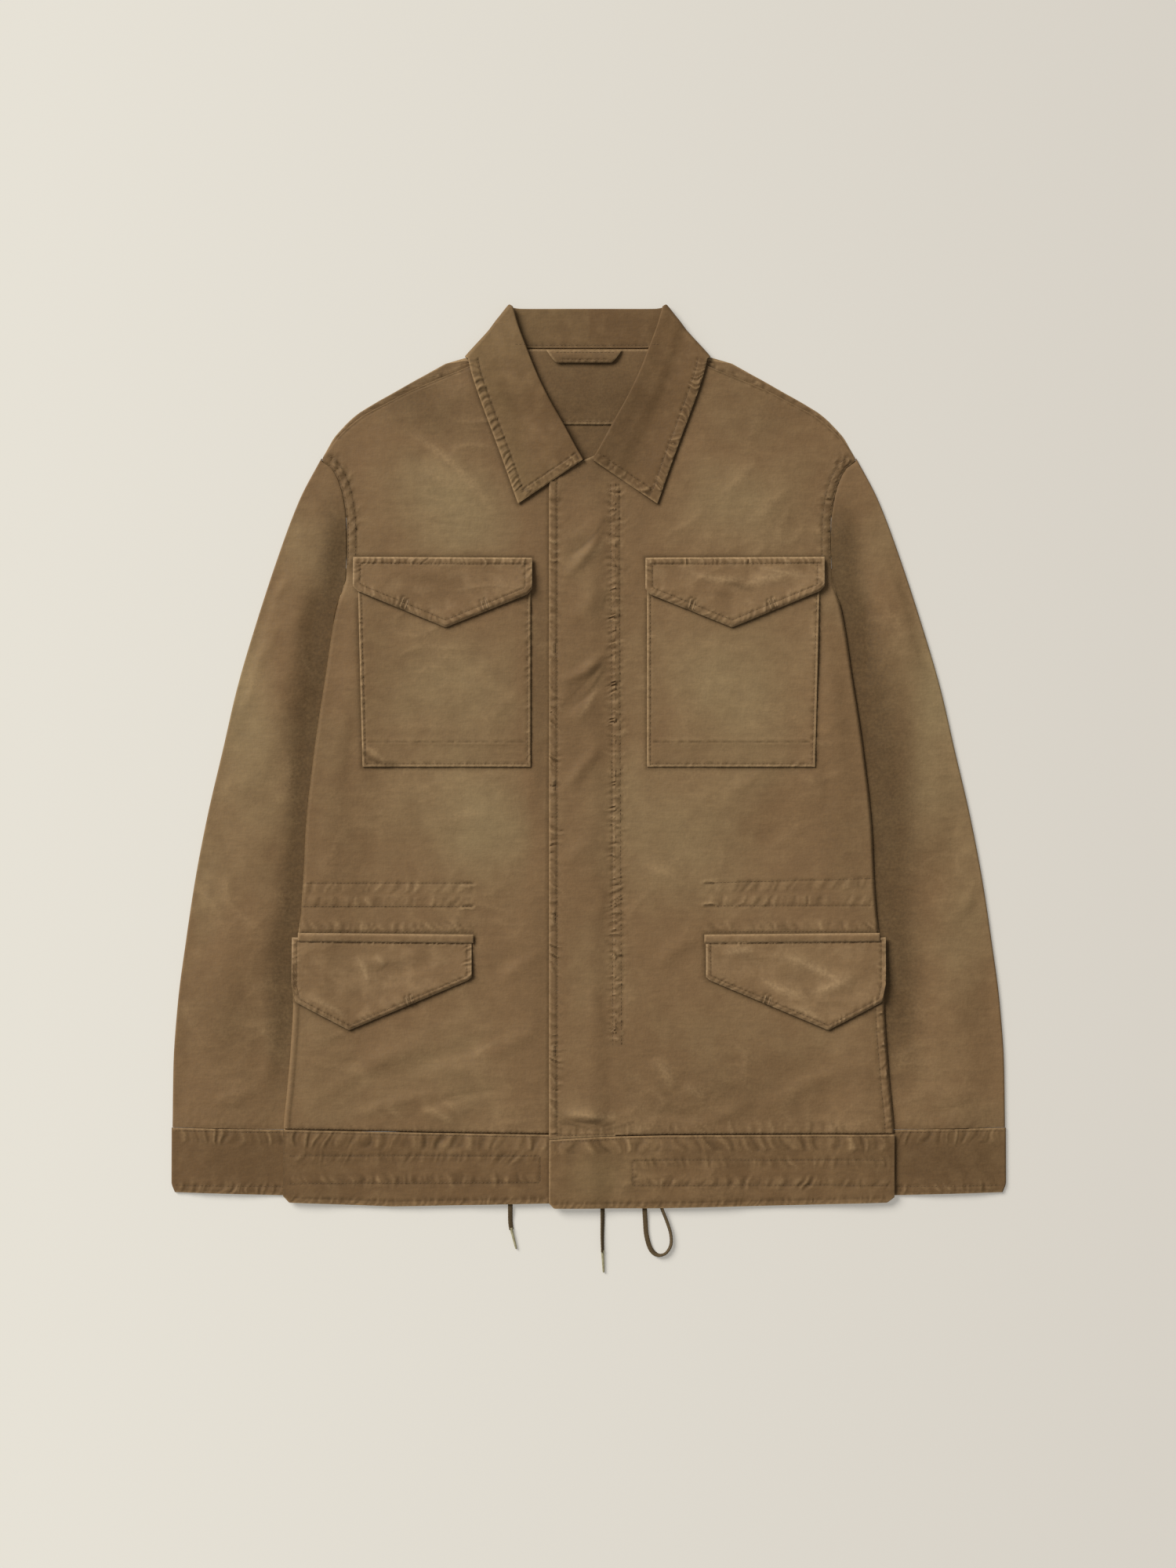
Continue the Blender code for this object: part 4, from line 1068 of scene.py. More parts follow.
def braid_points(cord, route, length):
    """Rings of points of a flat plaited cord along its route, turned about it as it lies."""
    along = np.gradient(route, axis=0)
    along /= np.linalg.norm(along, axis=1)[:, None]
    turn = np.radians(smooth(cord.turns)(length / length[-1]))[:, None]
    level = np.cross(along, (0, 0, 1))
    level /= np.linalg.norm(level, axis=1)[:, None]
    upright = np.cross(level, along)
    wide = level * np.cos(turn) + upright * np.sin(turn)
    thin = np.cross(wide, along)
    angle = np.arange(CORD_SIDES) * 2 * pi / CORD_SIDES
    flat_x = np.sign(np.cos(angle)) * abs(np.cos(angle)) ** CORD_SQUARE * CORD_WIDTH / 2
    flat_y = np.sign(np.sin(angle)) * abs(np.sin(angle)) ** CORD_SQUARE * CORD_THICKNESS / 2
    phase = 2 * pi * (length[:, None] + abs(flat_x)[None] * 1.1) / PLAIT_PITCH
    swell = 1 + PLAIT_HEIGHT * np.sin(phase)
    points = (
        route[:, None] + wide[:, None] * (flat_x * (1 + 0.03 * np.sin(phase)))[:, :, None]
        + thin[:, None] * (flat_y * swell)[:, :, None]
    )
    lowest = points[:, :, 2].min(axis=1)
    points[:, :, 2] += np.maximum(0, 0.1 - lowest)[:, None]
    return points


def add_braid(cord):
    """A cord, with its tip."""
    route = smooth_route(cord.route, CORD_STEP)
    steps = np.linalg.norm(np.diff(route, axis=0), axis=1)
    length = np.concatenate([[0], np.cumsum(steps)])
    name = cord.name + "_braid"
    mesh = turned_mesh(name, braid_points(cord, route, length))
    piece = add_object(name, mesh, "cord_cloth")
    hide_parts(cord.name)
    tips = [add_tip(cord)] if cord.tip else []


# A tip's radius by the part of its length
TIP_PROFILE = [
    (0, 0.2), (0, 1.5), (0.06, 1.62), (0.1, 1.35), (0.2, 1.3), (0.9, 0.95), (0.97, 0.8), (1, 0.2),
]
TIP_SIDES = 20
TIP_LAP = 1.5  # how far it reaches over the cord


def add_tip(cord):
    """The thin tip crimped on a cord's end, as a turned shape."""
    start = Vector(cord.route[-1])
    end = Vector((*cord.tip, ON_SURFACE))
    along = (end - start).normalized()
    start -= along * TIP_LAP
    level = along.cross(Vector((0, 0, 1))).normalized()
    upright = level.cross(along)
    rings = []
    for part, radius in TIP_PROFILE:
        middle = start.lerp(end, part)
        for side in range(TIP_SIDES):
            angle = 2 * pi * side / TIP_SIDES
            rings.append(middle + (level * cos(angle) + upright * sin(angle)) * radius)
    name = cord.name + "_tip"
    rings = np.array(rings).reshape(len(TIP_PROFILE), TIP_SIDES, 3)
    piece = add_object(name + "_turned", turned_mesh(name, rings), "tip_plastic")
    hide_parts(name)
    return piece


# ---- Cloth pieces ----

# A front's rows of points: (height, spacing there)
FRONT_ROWS = [
    (363, 1.4), (262, 1.4), (250, 2.2), (-100, 2.2), (-108, 1.5), (-160, 1.5), (-168, 2.4),
    (-318, 2.3), (-335, 1.2),
]
FRONT_COLUMNS = 104
SEAM_FOLLOW = (-300, -335)  # rows here follow the hem band's seam
SIDE_FALL = 1.5  # how far a front's side edge turns down to the back
SHOULDER_LEVELS = (356, 346, 336, 325, 314, 304, 293, 283)
HEM_REACHES = (30, 90, 150, 210, 268)
# The two lines of the waist casing, and the line along the welt, by side
WAIST_LINES = {
    -1: [[(-256, -113), (-103, -113)], [(-256, -134), (-103, -134)], [(-257, -156.8), (-101.5, -156.8)]],
    1: [[(106, -113), (253, -109)], [(106, -133.5), (253, -133.2)], [(103, -156.8), (258, -156)]],
}
WAIST_SLIT = (104, 112)  # inner and outer reach of the tacks at the casing's end, and their heights
WAIST_SLIT_LEVELS = (-113.4, -133.4)
# The lower edge of the crumpled cloth at the foot of the fly, along which shade is painted
HEM_CRUMPLE = [(-28.5, -325.9), (-13.3, -328.7), (6.3, -334), (17.5, -332.9), (28.7, -330), (39.9, -325.9)]
CHEST_POCKET = (52, 206, 172, -9.5)  # inner and outer reach, top and bottom
CHEST_TAPER = 4.5
CHEST_FLAP_TOP = [(50.5, 176.5), (54.5, 176.6), (127.5, 177), (206, 177.5), (210, 177.5)]
CHEST_FLAP_BOTTOM = [(50.5, 149), (54.5, 144), (127.5, 114.5), (206, 147), (210, 151.5)]
LOWER_FLAP_TOP = [(104.5, -164), (213.5, -162.5), (264.5, -161.5)]
LOWER_FLAP_BOTTOM = [(104.5, -197), (108, -200), (213.5, -244.3), (261.5, -219), (264.5, -204)]
WELT_TOP = [(103, -159), (259, -157.5)]
WELT_BOTTOM = [(103, -166.5), (259, -165)]


def mirrored(side, line):
    """A line given for the wearer's left, on either side."""
    return [(side * x, y) for x, y in line]


def armhole_line(side, inset):
    """A line down the armhole, an inset from its edge."""
    heights = np.linspace(SHOULDER - 2, UNDERARM + 2, 16)
    points = np.stack([side * front_reach(heights), heights], axis=1)
    return offset_line(points, side * -inset)


def side_line(side, inset, top, bottom):
    """A line down a side seam, an inset from the edge."""
    heights = np.linspace(top, bottom, 12)
    return np.stack([side * (front_reach(heights) - inset), heights], axis=1)


def shoulder_line(side, part, below):
    """A line along the shoulder, at part of the front's reach."""
    return [(side * front_reach(level) * part, level - below) for level in SHOULDER_LEVELS]


def band_line(side, reaches, above):
    """A line along the hem band's seam, above it or below."""
    return [(side * reach, float(band_seam[side](side * reach)) + above) for reach in reaches]


def front_sewing(side):
    """Rows of sewing on a front: armhole, side seam, waist channel and the seams at its ends."""
    upper, lower, welt = WAIST_LINES[side]
    hem = band_line(side, HEM_REACHES, 1.6)
    shoulder = shoulder_line(side, 0.997, 1.2)
    # line, band, plump, ripple, pitch, reach, seed, slant, stitched
    rows = sewing(
        (armhole_line(side, 1.4), side * -6.3, 0.5, 0.62, 7.5, 11, 11 + side),
        (armhole_line(side, 7.7), side * 0.1, 0, 0.34, 7.5, 9, 11 + side),
        (upper, -8, 0.15, 0.24, 11, 3, 21 + side, 0.5),
        (lower, 8, 0.15, 0.26, 10, 3, 31 + side, -0.4),
        (welt, 7, 0.1, 0.26, 10, 6, 41 + side, 0.5),
        (hem, 8, 0, 0.24, 9, 8, 51 + side),
        (shoulder, side * -2, 0, 0.12, 8, 4, 61 + side, USUAL_SLANT, False),
    )
    if side > 0:
        rows += sewing((side_line(side, 8, -221, -334), 6, 0.5, 0.62, 6, 4, 71))
        rows += fly_seam_sewing()
    return rows


def fly_seam_sewing():
    """The double-stitched ridge down the fly's seam."""
    # line, band, plump, ripple, pitch, reach, seed, slant
    return sewing(
        ([(19.4, 244), (21.4, -256)], 7.2, 0.5, 0.52, 6, 9, 81, 0),
        ([(26.8, 244), (28.9, -256)], -0.1, 0, 0.36, 7, 12, 82, -0.1),
    )


def front_halos(side):
    """The edges of what lies on a front: the pockets and their flaps, the collar and the fly."""
    inner, outer, _, bottom = CHEST_POCKET
    pocket = [(inner, 140), (inner, bottom), (outer - CHEST_TAPER, bottom), (outer, 140)]
    chest = [CHEST_FLAP_BOTTOM[1], CHEST_FLAP_TOP[0], CHEST_FLAP_TOP[-1], CHEST_FLAP_BOTTOM[-2]]
    lower = [WELT_TOP[0]] + LOWER_FLAP_BOTTOM + [WELT_TOP[-1], WELT_TOP[0]]
    leaf = [(row.edge_x + COLLAR_CENTRE * side, row.edge_y) for row in COLLAR[:LEAF_SECTIONS]]
    tip = [(COLLAR[0].roll_x, COLLAR[0].roll_y), leaf[0]]
    lines = [mirrored(side, line) for line in (pocket, chest, lower, leaf, tip)]
    if side < 0:
        lines.append([(FLY_EDGE, 250), (FLY_EDGE, -340)])
    return lines


def shade_front(cloth, side):
    """Darken a front along its seams, with painted shadow beside what lies on it and painted shade on its
    edges.
    """
    # Painted shadow under the edges of the pockets, flaps, collar leaves and fly.
    cloth.shaded(0.95, 2.6, *front_halos(side))
    # Dark armhole seam lines, and the puckered band between them darkened.
    cloth.shaded(0.9, 1.7, armhole_line(side, 0.3), armhole_line(side, 8))
    cloth.shaded(0.45, 5, armhole_line(side, 4))
    # Painted shade on the side edge, dulling the highlight its rounded edge catches; lower on the right
    # front, a dark line 5 mm in.
    cloth.shaded(0.75, 1.8, side_line(side, 0, 166, -200))
    cloth.shaded(0.8, 1.4, side_line(side, 5 if side < 0 else 0, -200, -336))
    if side > 0:
        # A dark seam line on the left front's side strip, and painted shade in the crease at the foot of
        # the fly.
        cloth.shaded(0.75, 1.3, side_line(side, 8.6, -216, -335))
        cloth.shaded(0.55, 1.6, HEM_CRUMPLE)


def add_front(name, side):
    """A front, from its neckline and shoulder to the hem band's seam."""
    heights = graded(FRONT_ROWS)[:, None]
    inner = (smooth(RIGHT_FRONT_EDGE) if side < 0 else straight(LEFT_FRONT_EDGE))(heights)
    outer = side * front_reach(heights)
    run = across(abs(outer - inner), FRONT_COLUMNS, SIDE_MARKS, (0, 1.5))
    x = outer - side * run
    follow = ease(heights, *SEAM_FOLLOW)
    y = heights + follow * (band_seam[side](x) + SEAM_GAP / 2 - heights[-1])
    cloth = Cloth(name + "_front", x, y, front_top(side, x, y))
    shown = ease(front_reach(y) - abs(x), 6, 26) * ease(abs(x), 26, 40)
    cloth.crinkled(63 + side, 0.3, shown)
    cloth.sewn(front_sewing(side), edges=(0.2, 0, 0, 1), drop=2.2)
    turned = (1 - ease(run, -0.5, 2.2)) * ease(y, UNDERARM, UNDERARM - 20)
    cloth.z -= SIDE_FALL * turned
    cloth.marked(BODY_CREASES, shown)
    shade_front(cloth, side)
    slits = [mirrored(side, [(reach, level) for reach in WAIST_SLIT]) for level in WAIST_SLIT_LEVELS]
    cloth.barred(slits, slit=True)
    cloth.make("canvas")


FLY_ROWS = [(276, 1.3), (-325, 1.3), (-341, 1.0)]
FLY_SLITS = (95.6, -27, -144, -263)  # heights of their middles
FLY_SLIT_X = -30
FLY_SLIT_HALF = 3.5  # half of their length
FLY_INSET = 7  # its stitched line, from its free edge


def add_fly():
    """The fly: one surface with the left front, whose free edge laps over the right front."""
    heights = graded(FLY_ROWS)[:, None]
    x = FLY_EDGE + across(FLY_SEAM - FLY_EDGE, 26, FLY_MARKS, (0, 1.6, 3.2, 4.6))
    part = (heights - heights[-1]) / (heights[0] - heights[-1])
    y = mix(band_seam[1](x) + SEAM_GAP / 2, straight(FLY_TOP)(x), part)
    cloth = Cloth("fly_placket", x, y, body_top(x, y))
    edge = [(FLY_EDGE + FLY_INSET, 262), (FLY_EDGE + FLY_INSET, -340)]
    # line, band, plump, ripple, pitch, reach, seed, slant
    rows = sewing(
        (edge, -6, 0.35, 0.6, 8, 12, 91, 0.5),
        ([(-30, -338.2), (24, -337)], 6, 0, 0.25, 7, 6, 93),
    )
    cloth.sewn(rows + fly_seam_sewing(), edges=(0.6, 0, 1, 1))
    # Painted shadow under the collar's leaves.
    for _, side in SIDES:
        cloth.shaded(*HALO, [(COLLAR_CENTRE + side * 5, 263.5), (COLLAR_CENTRE + side * 62, COLLAR_FRONT)])
    # The stitched line darkened, painted shade in the puckers by the free edge, a dark seam line at the
    # foot and painted shade in its crease.
    cloth.shaded(0.5, 1.6, edge)
    cloth.shaded(0.3, 3.2, [(FLY_EDGE + 4.5, 250), (FLY_EDGE + 4.5, -330)])
    cloth.shaded(0.75, 1.2, band_line(1, (FLY_EDGE, 6, FLY_SEAM), 0.5))
    cloth.shaded(0.55, 1.6, HEM_CRUMPLE)
    cloth.marked(FLY_CREASES)
    slits = [
        [(FLY_SLIT_X, level - FLY_SLIT_HALF), (FLY_SLIT_X, level + FLY_SLIT_HALF)] for level in FLY_SLITS
    ]
    cloth.barred(slits, slit=True)
    cloth.make("canvas")


BACK_ROWS = [(363, 1.6), (262, 1.8), (240, 5.5), (-325, 5.5), (BACK_SEAM, 2.0)]
BACK_COLUMNS = 84
BAND_TOP = BACK_SEAM - SEAM_GAP
BAND_ROUND = 5  # how much higher the band's lower corners are


def add_back():
    """The back panel and the back of the hem band."""
    heights = graded(BACK_ROWS)[:, None]
    reach = back_reach(heights)
    x = across(2 * reach, BACK_COLUMNS, BACK_MARKS) - reach
    y = heights + 0 * x
    cloth = Cloth("back", x, y, rest(x, y) + WALL)
    rows = []
    for _, side in SIDES:
        line = shoulder_line(side, 0.999, 0.4)
        # line, band, plump, ripple, pitch, reach, seed, slant, stitched
        rows += sewing((line, side * 4.5, 0.2, 0.35, 7, 3, 101 + side, USUAL_SLANT, False))
    cloth.sewn(rows, edges=(1, 1, 0, 0))
    cloth.tone = 0.15
    cloth.make("canvas")
    heights = graded([(BAND_TOP, 3.0), (BACK_HEM, 3.0)])[:, None]
    x = across(2 * back_reach(heights), BACK_COLUMNS) - back_reach(heights)
    part = (heights - BAND_TOP) / (BACK_HEM - BAND_TOP)
    y = heights + part * BAND_ROUND * ease(abs(x), 265, 272)
    band = Cloth("back_hem_band", x, y, rest(x, y) + WALL)
    stitch = [(-268, BACK_HEM + 8), (268, BACK_HEM + 8)]
    band.sewn(sewing((stitch, -6, 0.2, 0.25, 8, 6, 105)))
    band.make("canvas_trim")


# The stitched ends of the cord's channel, by side
CORD_CHANNELS = {
    -1: [(-268, -356), (-43.5, -356), (-43.5, -380), (-268, -381)],
    1: [(269, -360), (39, -360), (39, -382.5), (269, -382.5)],
}


def hem_band_sewing(side, seam_line, hem):
    """Rows of sewing on a front's hem band: its seam, the channel of the cord and its lower edge."""
    channel = CORD_CHANNELS[side]
    # line, band, plump, ripple, pitch, reach, seed, slant, stitched
    return sewing(
        (seam_line, side * 11, 0.1, 0.42, 14, 5, 111 + side),
        (channel[:2], side * 4, 0.1, 0.26, 10, 8, 121 + side, 0.4),
        (channel[1:3], side * 4, 0.1, 0.2, 7, 3, 125 + side),
        (channel[2:], side * 4, 0.1, 0.34, 12, 8, 131 + side, -0.4),
        (offset_line(hem[1:-1], 5), -4, 0.1, 0.24, 7, 5, 137 + side, USUAL_SLANT, False),
    )


def add_hem_band(name, side):
    """A front's hem band, with the stitched channel of its cord."""
    inner = UNDER_FRONT_EDGE if side < 0 else FLY_EDGE
    hem = RIGHT_HEM if side < 0 else LEFT_HEM
    run = across(abs(side * HEM_REACH - inner), 220)
    x = side * HEM_REACH - side * run
    top = band_seam[side](x) - SEAM_GAP / 2
    y = mix(top, straight(hem)(x), across(1.0, 34, BAND_MARKS).T)
    cloth = Cloth(name + "_hem_band", x, y, front_top(side, x, y))
    cloth.crinkled(87 + side, 0.5, 1)
    reaches = (270, 150, 36) if side < 0 else (270, 150, 36, FLY_EDGE + 3)
    seam_line = band_line(side, reaches, -2.2)
    cloth.sewn(hem_band_sewing(side, seam_line, hem), edges=(0.2, 1, 1, 1))
    cloth.shaded(0.5, 1.1, seam_line)
    cloth.z += drift(x, y, 7 + side, 60, 25, 0.18)
    # Painted shade on the outer edge, dulling the highlight its rounded edge catches, and painted shadow
    # under the fly's edge.
    cloth.shaded(0.6, 1.8, [(side * HEM_REACH, -330), (side * HEM_REACH, -400)])
    if side < 0:
        cloth.shaded(*HALO, [(FLY_EDGE, -340), (FLY_EDGE, -398)])
    cloth.make("canvas_trim")


def strip_grid(side, top, bottom, columns, rows, marks=EDGE_MARKS):
    """The plan of a piece between a top and a bottom line, from its inner to its outer side."""
    start, end = top[0][0], top[-1][0]
    reach = start + across(end - start, columns, marks)
    upper, lower = straight(top)(reach), straight(bottom)(reach)
    climb = across((upper - lower).ravel(), rows).T
    return side * reach, lower + climb, reach, climb


def flap_lines(side, top, bottom, inset, top_inset):
    """The stitched lines of a flap: along its top, and round its other edges."""
    outline = mirrored(side, [top[0]] + bottom + [top[-1]])
    around = offset_line(outline, side * inset)
    around[0][1] -= top_inset
    around[-1][1] -= top_inset
    strip = [(top[0][0] + 2, top[0][1])] + top[1:-1] + [(top[-1][0] - 2, top[-1][1])]
    return [(side * x, y - top_inset) for x, y in strip], around


POCKET_GRID = (100, 116)  # columns and rows between its edges
POCKET_INSET = 2.6  # of its stitched line
POCKET_CREASES = {
    -1: crease_table(
        (-203, 10, -176, -12, 1.5, 3, 2, 1), (-200, 12.6, -120, 13.4, 0.6, 1.6, 0.6, 1),
        (-135, 12.8, -60, 12.4, 0.6, 1.6, -0.5, 1), (-200, 60, -150, 40, 0.5, 5, 2, 0),
        (-90, 30, -56, 60, 0.5, 5, 2, 0), (-170, 28, -110, 22, 0.4, 4, 2, 1),
    ),
    1: crease_table(
        (56, 12.8, 130, 13.2, 0.6, 1.6, 0.6, 1), (120, 13.4, 200, 12.6, 0.6, 1.6, -0.5, 1),
        (198, 130, 204, 60, 0.9, 3, 2, 1), (150, 70, 196, 40, 0.5, 5, 2, 0),
        (66, 40, 104, 24, 0.5, 5, 2, 0), (90, 100, 150, 92, 0.4, 4, 2, 1),
    ),
}
FOLDED_CORNER = [(-204, 6), (-196, -2), (-184, -6.5), (-172, -7.5)]  # of the right pocket's hem, whose curled corner has a painted shadow under it


def pocket_sewing(side):
    """Rows of sewing round a chest pocket, and the fold of the hem inside it."""
    inner, outer, _, bottom = CHEST_POCKET
    corners = [(inner, 160), (inner, bottom), (outer - CHEST_TAPER, bottom), (outer, 160)]
    outline = offset_line(mirrored(side, corners), side * POCKET_INSET)
    hem = mirrored(side, [(inner + 4, 12.6), (outer - 8, 12.9)])
    # line, band, plump, ripple, pitch, reach, seed, slant, stitched
    return sewing(
        (outline[:2], side * -2, 0.3, 0.36, 8, 6, 141 + side),
        (outline[1:3], side * -2, 0.3, 0.22, 8, 4, 143 + side),
        (outline[2:], side * -2, 0.3, 0.34, 8, 6, 145 + side),
        (hem, 1.5, 0.3, 0.06, 14, 2, 147, USUAL_SLANT, False),
    )


def add_chest_pocket(name, side):
    """A patch pocket on the chest, with its flap."""
    inner, outer, top, bottom = CHEST_POCKET
    edges = [[(inner, level), (outer, level)] for level in (top, bottom)]
    x, y, reach, _ = strip_grid(side, *edges, *POCKET_GRID)
    height = (y - bottom) / (top - bottom)
    part = (reach - inner) / (outer - inner)
    x = x - side * CHEST_TAPER * (1 - height) * part
    inside = ease(part, 0, 0.25) * ease(part, 1, 0.75) * ease(height, 0, 0.2)
    z = front_rest(x, y) + LAYER + POCKET_GAP + WALL + POCKET_PUFF * inside
    z = z + drift(x, y, 17 + side, 90, 30, 0.2) * inside
    cloth = Cloth(name + "_chest_pocket", x, y, z)
    cloth.crinkled(73 + side, 0.22, inside)
    cloth.creased(POCKET_CREASES[side])
    cloth.sewn(pocket_sewing(side))
    # Painted shadow under the flap, and on the right pocket under its curled corner.
    cloth.shaded(*HALO, mirrored(side, CHEST_FLAP_BOTTOM))
    if side < 0:
        cloth.shaded(*HALO, FOLDED_CORNER)
    cloth.make("canvas")
    add_flap(name + "_chest_flap", side, CHEST_FLAP_TOP, CHEST_FLAP_BOTTOM, 6.3, 5.6)


# Bartacks on the flaps of the wearer's right, mirrored on the left
FLAP_BARS = {
    "chest": [
        ((-167, 133.5), (-164.5, 140)), ((-163, 131.5), (-160.5, 138)),
        ((-93, 131), (-95, 137.5)), ((-89.5, 132.5), (-91.5, 139)),
    ],
    "lower": [((-160, -222), (-162, -215.5)), ((-156, -220.5), (-158, -214))],
}
FLAP_CREASES = {
    "left_lower_flap": crease_table(
        (166, -175, 236, -207, 2.2, 5, 2, 1), (196, -211, 236, -195, 1.5, 4, -2, 1),
        (120, -170, 170, -184, 0.9, 5, 1, 0), (150, -196, 200, -216, 1.3, 5, -3, 1),
        (200, -218, 240, -222, 1.0, 4, 2, 0), (118, -176, 150, -172, 1.0, 4, 1, 1),
        (186, -186, 214, -206, -0.5, 3.5, -1, 0), (176, -222, 212, -238, 1.0, 4, 2, 1),
    ),
    "right_lower_flap": crease_table(
        (-208, -178, -196, -204, 1.0, 3, 2, 1), (-150, -176, -210, -186, 0.8, 5, 2, 0),
        (-252, -214, -214, -234, 0.8, 3, 2, 1), (-190, -178, -182, -188, 0.8, 2.5, 1, 1),
        (-240, -190, -200, -222, 0.9, 6, 3, 0), (-130, -186, -170, -200, 0.6, 5, 2, 0),
    ),
    "left_chest_flap": crease_table(
        (90, 163, 142, 158, 1.4, 4, -3, 1), (128, 148, 192, 164, 1.6, 4.5, 3, 1),
        (120, 154, 150, 146, -0.8, 3, 1, 1), (150, 168, 200, 160, 0.9, 3, -1, 1),
        (100, 150, 140, 140, 0.8, 4, 2, 0), (64, 150, 96, 140, 0.8, 5, 2, 0),
    ),
    "right_chest_flap": crease_table(
        (-180, 163, -120, 158, 0.6, 5, 2, 0), (-110, 160, -70, 152, 0.6, 5, 2, 0),
    ),
}
FLAP_LIFT = 2.4  # how far its free edge stands off
FLAP_COLUMNS = 124


def add_flap(name, side, top, bottom, inset, top_inset):
    """A pocket flap, which stands a little off what is under it along its free edge."""
    chest = "chest" in name
    x, y, _, climb = strip_grid(side, top, bottom, FLAP_COLUMNS, 44 if chest else 54, FLAP_MARKS)
    level = 2 * LAYER + POCKET_GAP + POCKET_PUFF if chest else LAYER
    lift = FLAP_LIFT * ease(climb, 32, 0) * ease(climb, -1.5, 3)
    z = front_rest(x, y) + level + WALL + lift + drift(x, y, 27 + side + chest, 55, 18, 0.2)
    cloth = Cloth(name, x, y, z)
    cloth.crinkled(83 + side + chest, 0.4, ease(climb, 0, 10) * ease(edge_run(cloth.x, cloth.y), 0, 10))
    cloth.creased(FLAP_CREASES[name])
    strip, around = flap_lines(side, top, bottom, inset, top_inset)
    # line, band, plump, ripple, pitch, reach, seed, slant
    cloth.sewn(sewing(
        (strip, side * 5, 0.35, 0.36, 6.2, 3, 151 + side + chest, 0.2),
        (around, side * -5.6, 0.2, 0.24, 7, 6, 161 + side + chest, 0.5),
    ))
    cloth.barred([mirrored(-side, bar) for bar in FLAP_BARS["chest" if chest else "lower"]])
    cloth.make("canvas_flap")


WELT_SWELL = 0.35  # how far its middle stands up
WELT_HEIGHT = 7.5


def add_lower_pocket(name, side):
    """A lower pocket's flap, and the lip of its welt."""
    add_flap(name + "_lower_flap", side, LOWER_FLAP_TOP, LOWER_FLAP_BOTTOM, 4.2, 3.5)
    x, y, reach, climb = strip_grid(side, WELT_TOP, WELT_BOTTOM, 90, 3)
    z = front_rest(x, y) + 2 * LAYER + WALL + WELT_SWELL * np.sin(pi * climb / WELT_HEIGHT)
    cloth = Cloth(name + "_flap_welt", x, y, z)
    cloth.sewn([], edges=(0.45, 0.45, 0.6, 0.6), drop=1.6)
    cloth.z += 0.15 * ripples(reach, 12, 171 + side)
    cloth.make("canvas_flap")


# ---- Sleeves ----

SLEEVE_TUCK = 12  # how far it lies under the body's edge below the underarm
TUCK_DOWN = (128, 70)
FOLD_RADIUS = 1.6  # of a tube's folded sides
FOLD_ANGLES = (67, 45, 22, 0, -22, -45, -67)
SLEEVE_PUFF = 2.9  # how far its top stands up in the middle
CUFF_PUFF = 1.9
UNDER_COLUMNS = 6  # a tube's underside has one column to this many of the top
ARMHOLE_PART = 0.22  # of its length, along which the armhole's curve is lost
SLEEVE_EDGE = [
    (264, 238.5), (227, 258), (171, 279.6), (115, 298), (59, 314.3), (3, 327.2), (-53, 340.2),
    (-109, 351), (-165, 359.5), (-221, 366.8), (-277, 370.7), (-332, 371.5),
]
CUFF_EDGE = [(-331, 372.2), (-380, 372.4), (-389, 369.5)]
CUFF_SEAM_OUTER = -331.5
CUFF_SEAM_INNER = -333.5
CUFF_BOTTOM_OUTER = -389
CUFF_BOTTOM_INNER = -392
SLEEVE_CREASES = crease_table(
    (232, 228, 250, 62, -2.2, 11, 4, 0), (256, 215, 288, 30, 1.2, 22, 5, 0),
    (262, 10, 300, -70, -1.1, 18, 5, 0), (340, -60, 296, -150, -1.3, 15, -5, 0),
    (350, -170, 300, -262, 1.0, 20, 4, 0), (284, -180, 330, -300, -1.0, 15, 4, 0),
    (300, 60, 326, 0, 0.8, 6, 4, 0), (276, 120, 306, 70, 0.7, 6, -3, 0), (262, 160, 286, 136, 0.9, 6, 2, 0),
    (350, -110, 322, -150, 0.7, 6, 2, 0), (290, -296, 340, -318, 0.9, 7, 4, 0),
    (300, -322, 356, -312, -0.8, 5, 3, 0), (270, -250, 290, -300, 0.8, 8, 3, 0),
)

sleeve_edge = smooth(SLEEVE_EDGE)
cuff_edge = smooth(CUFF_EDGE)


def inner_reach(y):
    """Reach of a sleeve's inner fold: beside the body at the underarm, then under its edge."""
    tucked = ease(y, *TUCK_DOWN)
    return back_reach(y) + SEAM_GAP * (1 - tucked) - SLEEVE_TUCK * tucked


def flat_tube(points_x, points_y, heights):
    """Rings of a flattened tube: its top, the outer fold, its flat underside and the inner fold."""
    ends = np.stack([points_x[:, -1] - points_x[:, 0], points_y[:, -1] - points_y[:, 0]])
    ends = ends / np.hypot(*ends)
    folds = {}
    for end, turn in ((-1, 1), (0, -1)):
        angles = np.radians(np.array(FOLD_ANGLES) * turn)
        out = turn * FOLD_RADIUS * np.cos(angles)
        folds[end] = (
            points_x[:, end, None] + ends[0][:, None] * out,
            points_y[:, end, None] + ends[1][:, None] * out,
            heights[:, end, None] / 2 * (1 + np.sin(angles)),
        )
    under = slice(None, None, -UNDER_COLUMNS)
    low = np.zeros(points_x[:, under].shape)
    x = np.hstack([points_x, folds[-1][0], points_x[:, under], folds[0][0]])
    y = np.hstack([points_y, folds[-1][1], points_y[:, under], folds[0][1]])
    z = np.hstack([heights, folds[-1][2], low, folds[0][2]])
    return x, y, z


def tube_plan(edge, outer_ends, inner_ends, part, columns):
    """The plan of a tube by the part of its length: both its folds, its width and its columns."""
    outer_y, inner_y = mix(*outer_ends, part), mix(*inner_ends, part)
    outer = (edge(outer_y) - FOLD_RADIUS, outer_y)
    inner = (inner_reach(inner_y) + FOLD_RADIUS, inner_y)
    width = np.hypot(inner[0] - outer[0], inner[1] - outer[1])
    return outer, inner, width, across(width, columns, BACK_MARKS, FOLD_MARKS) / width


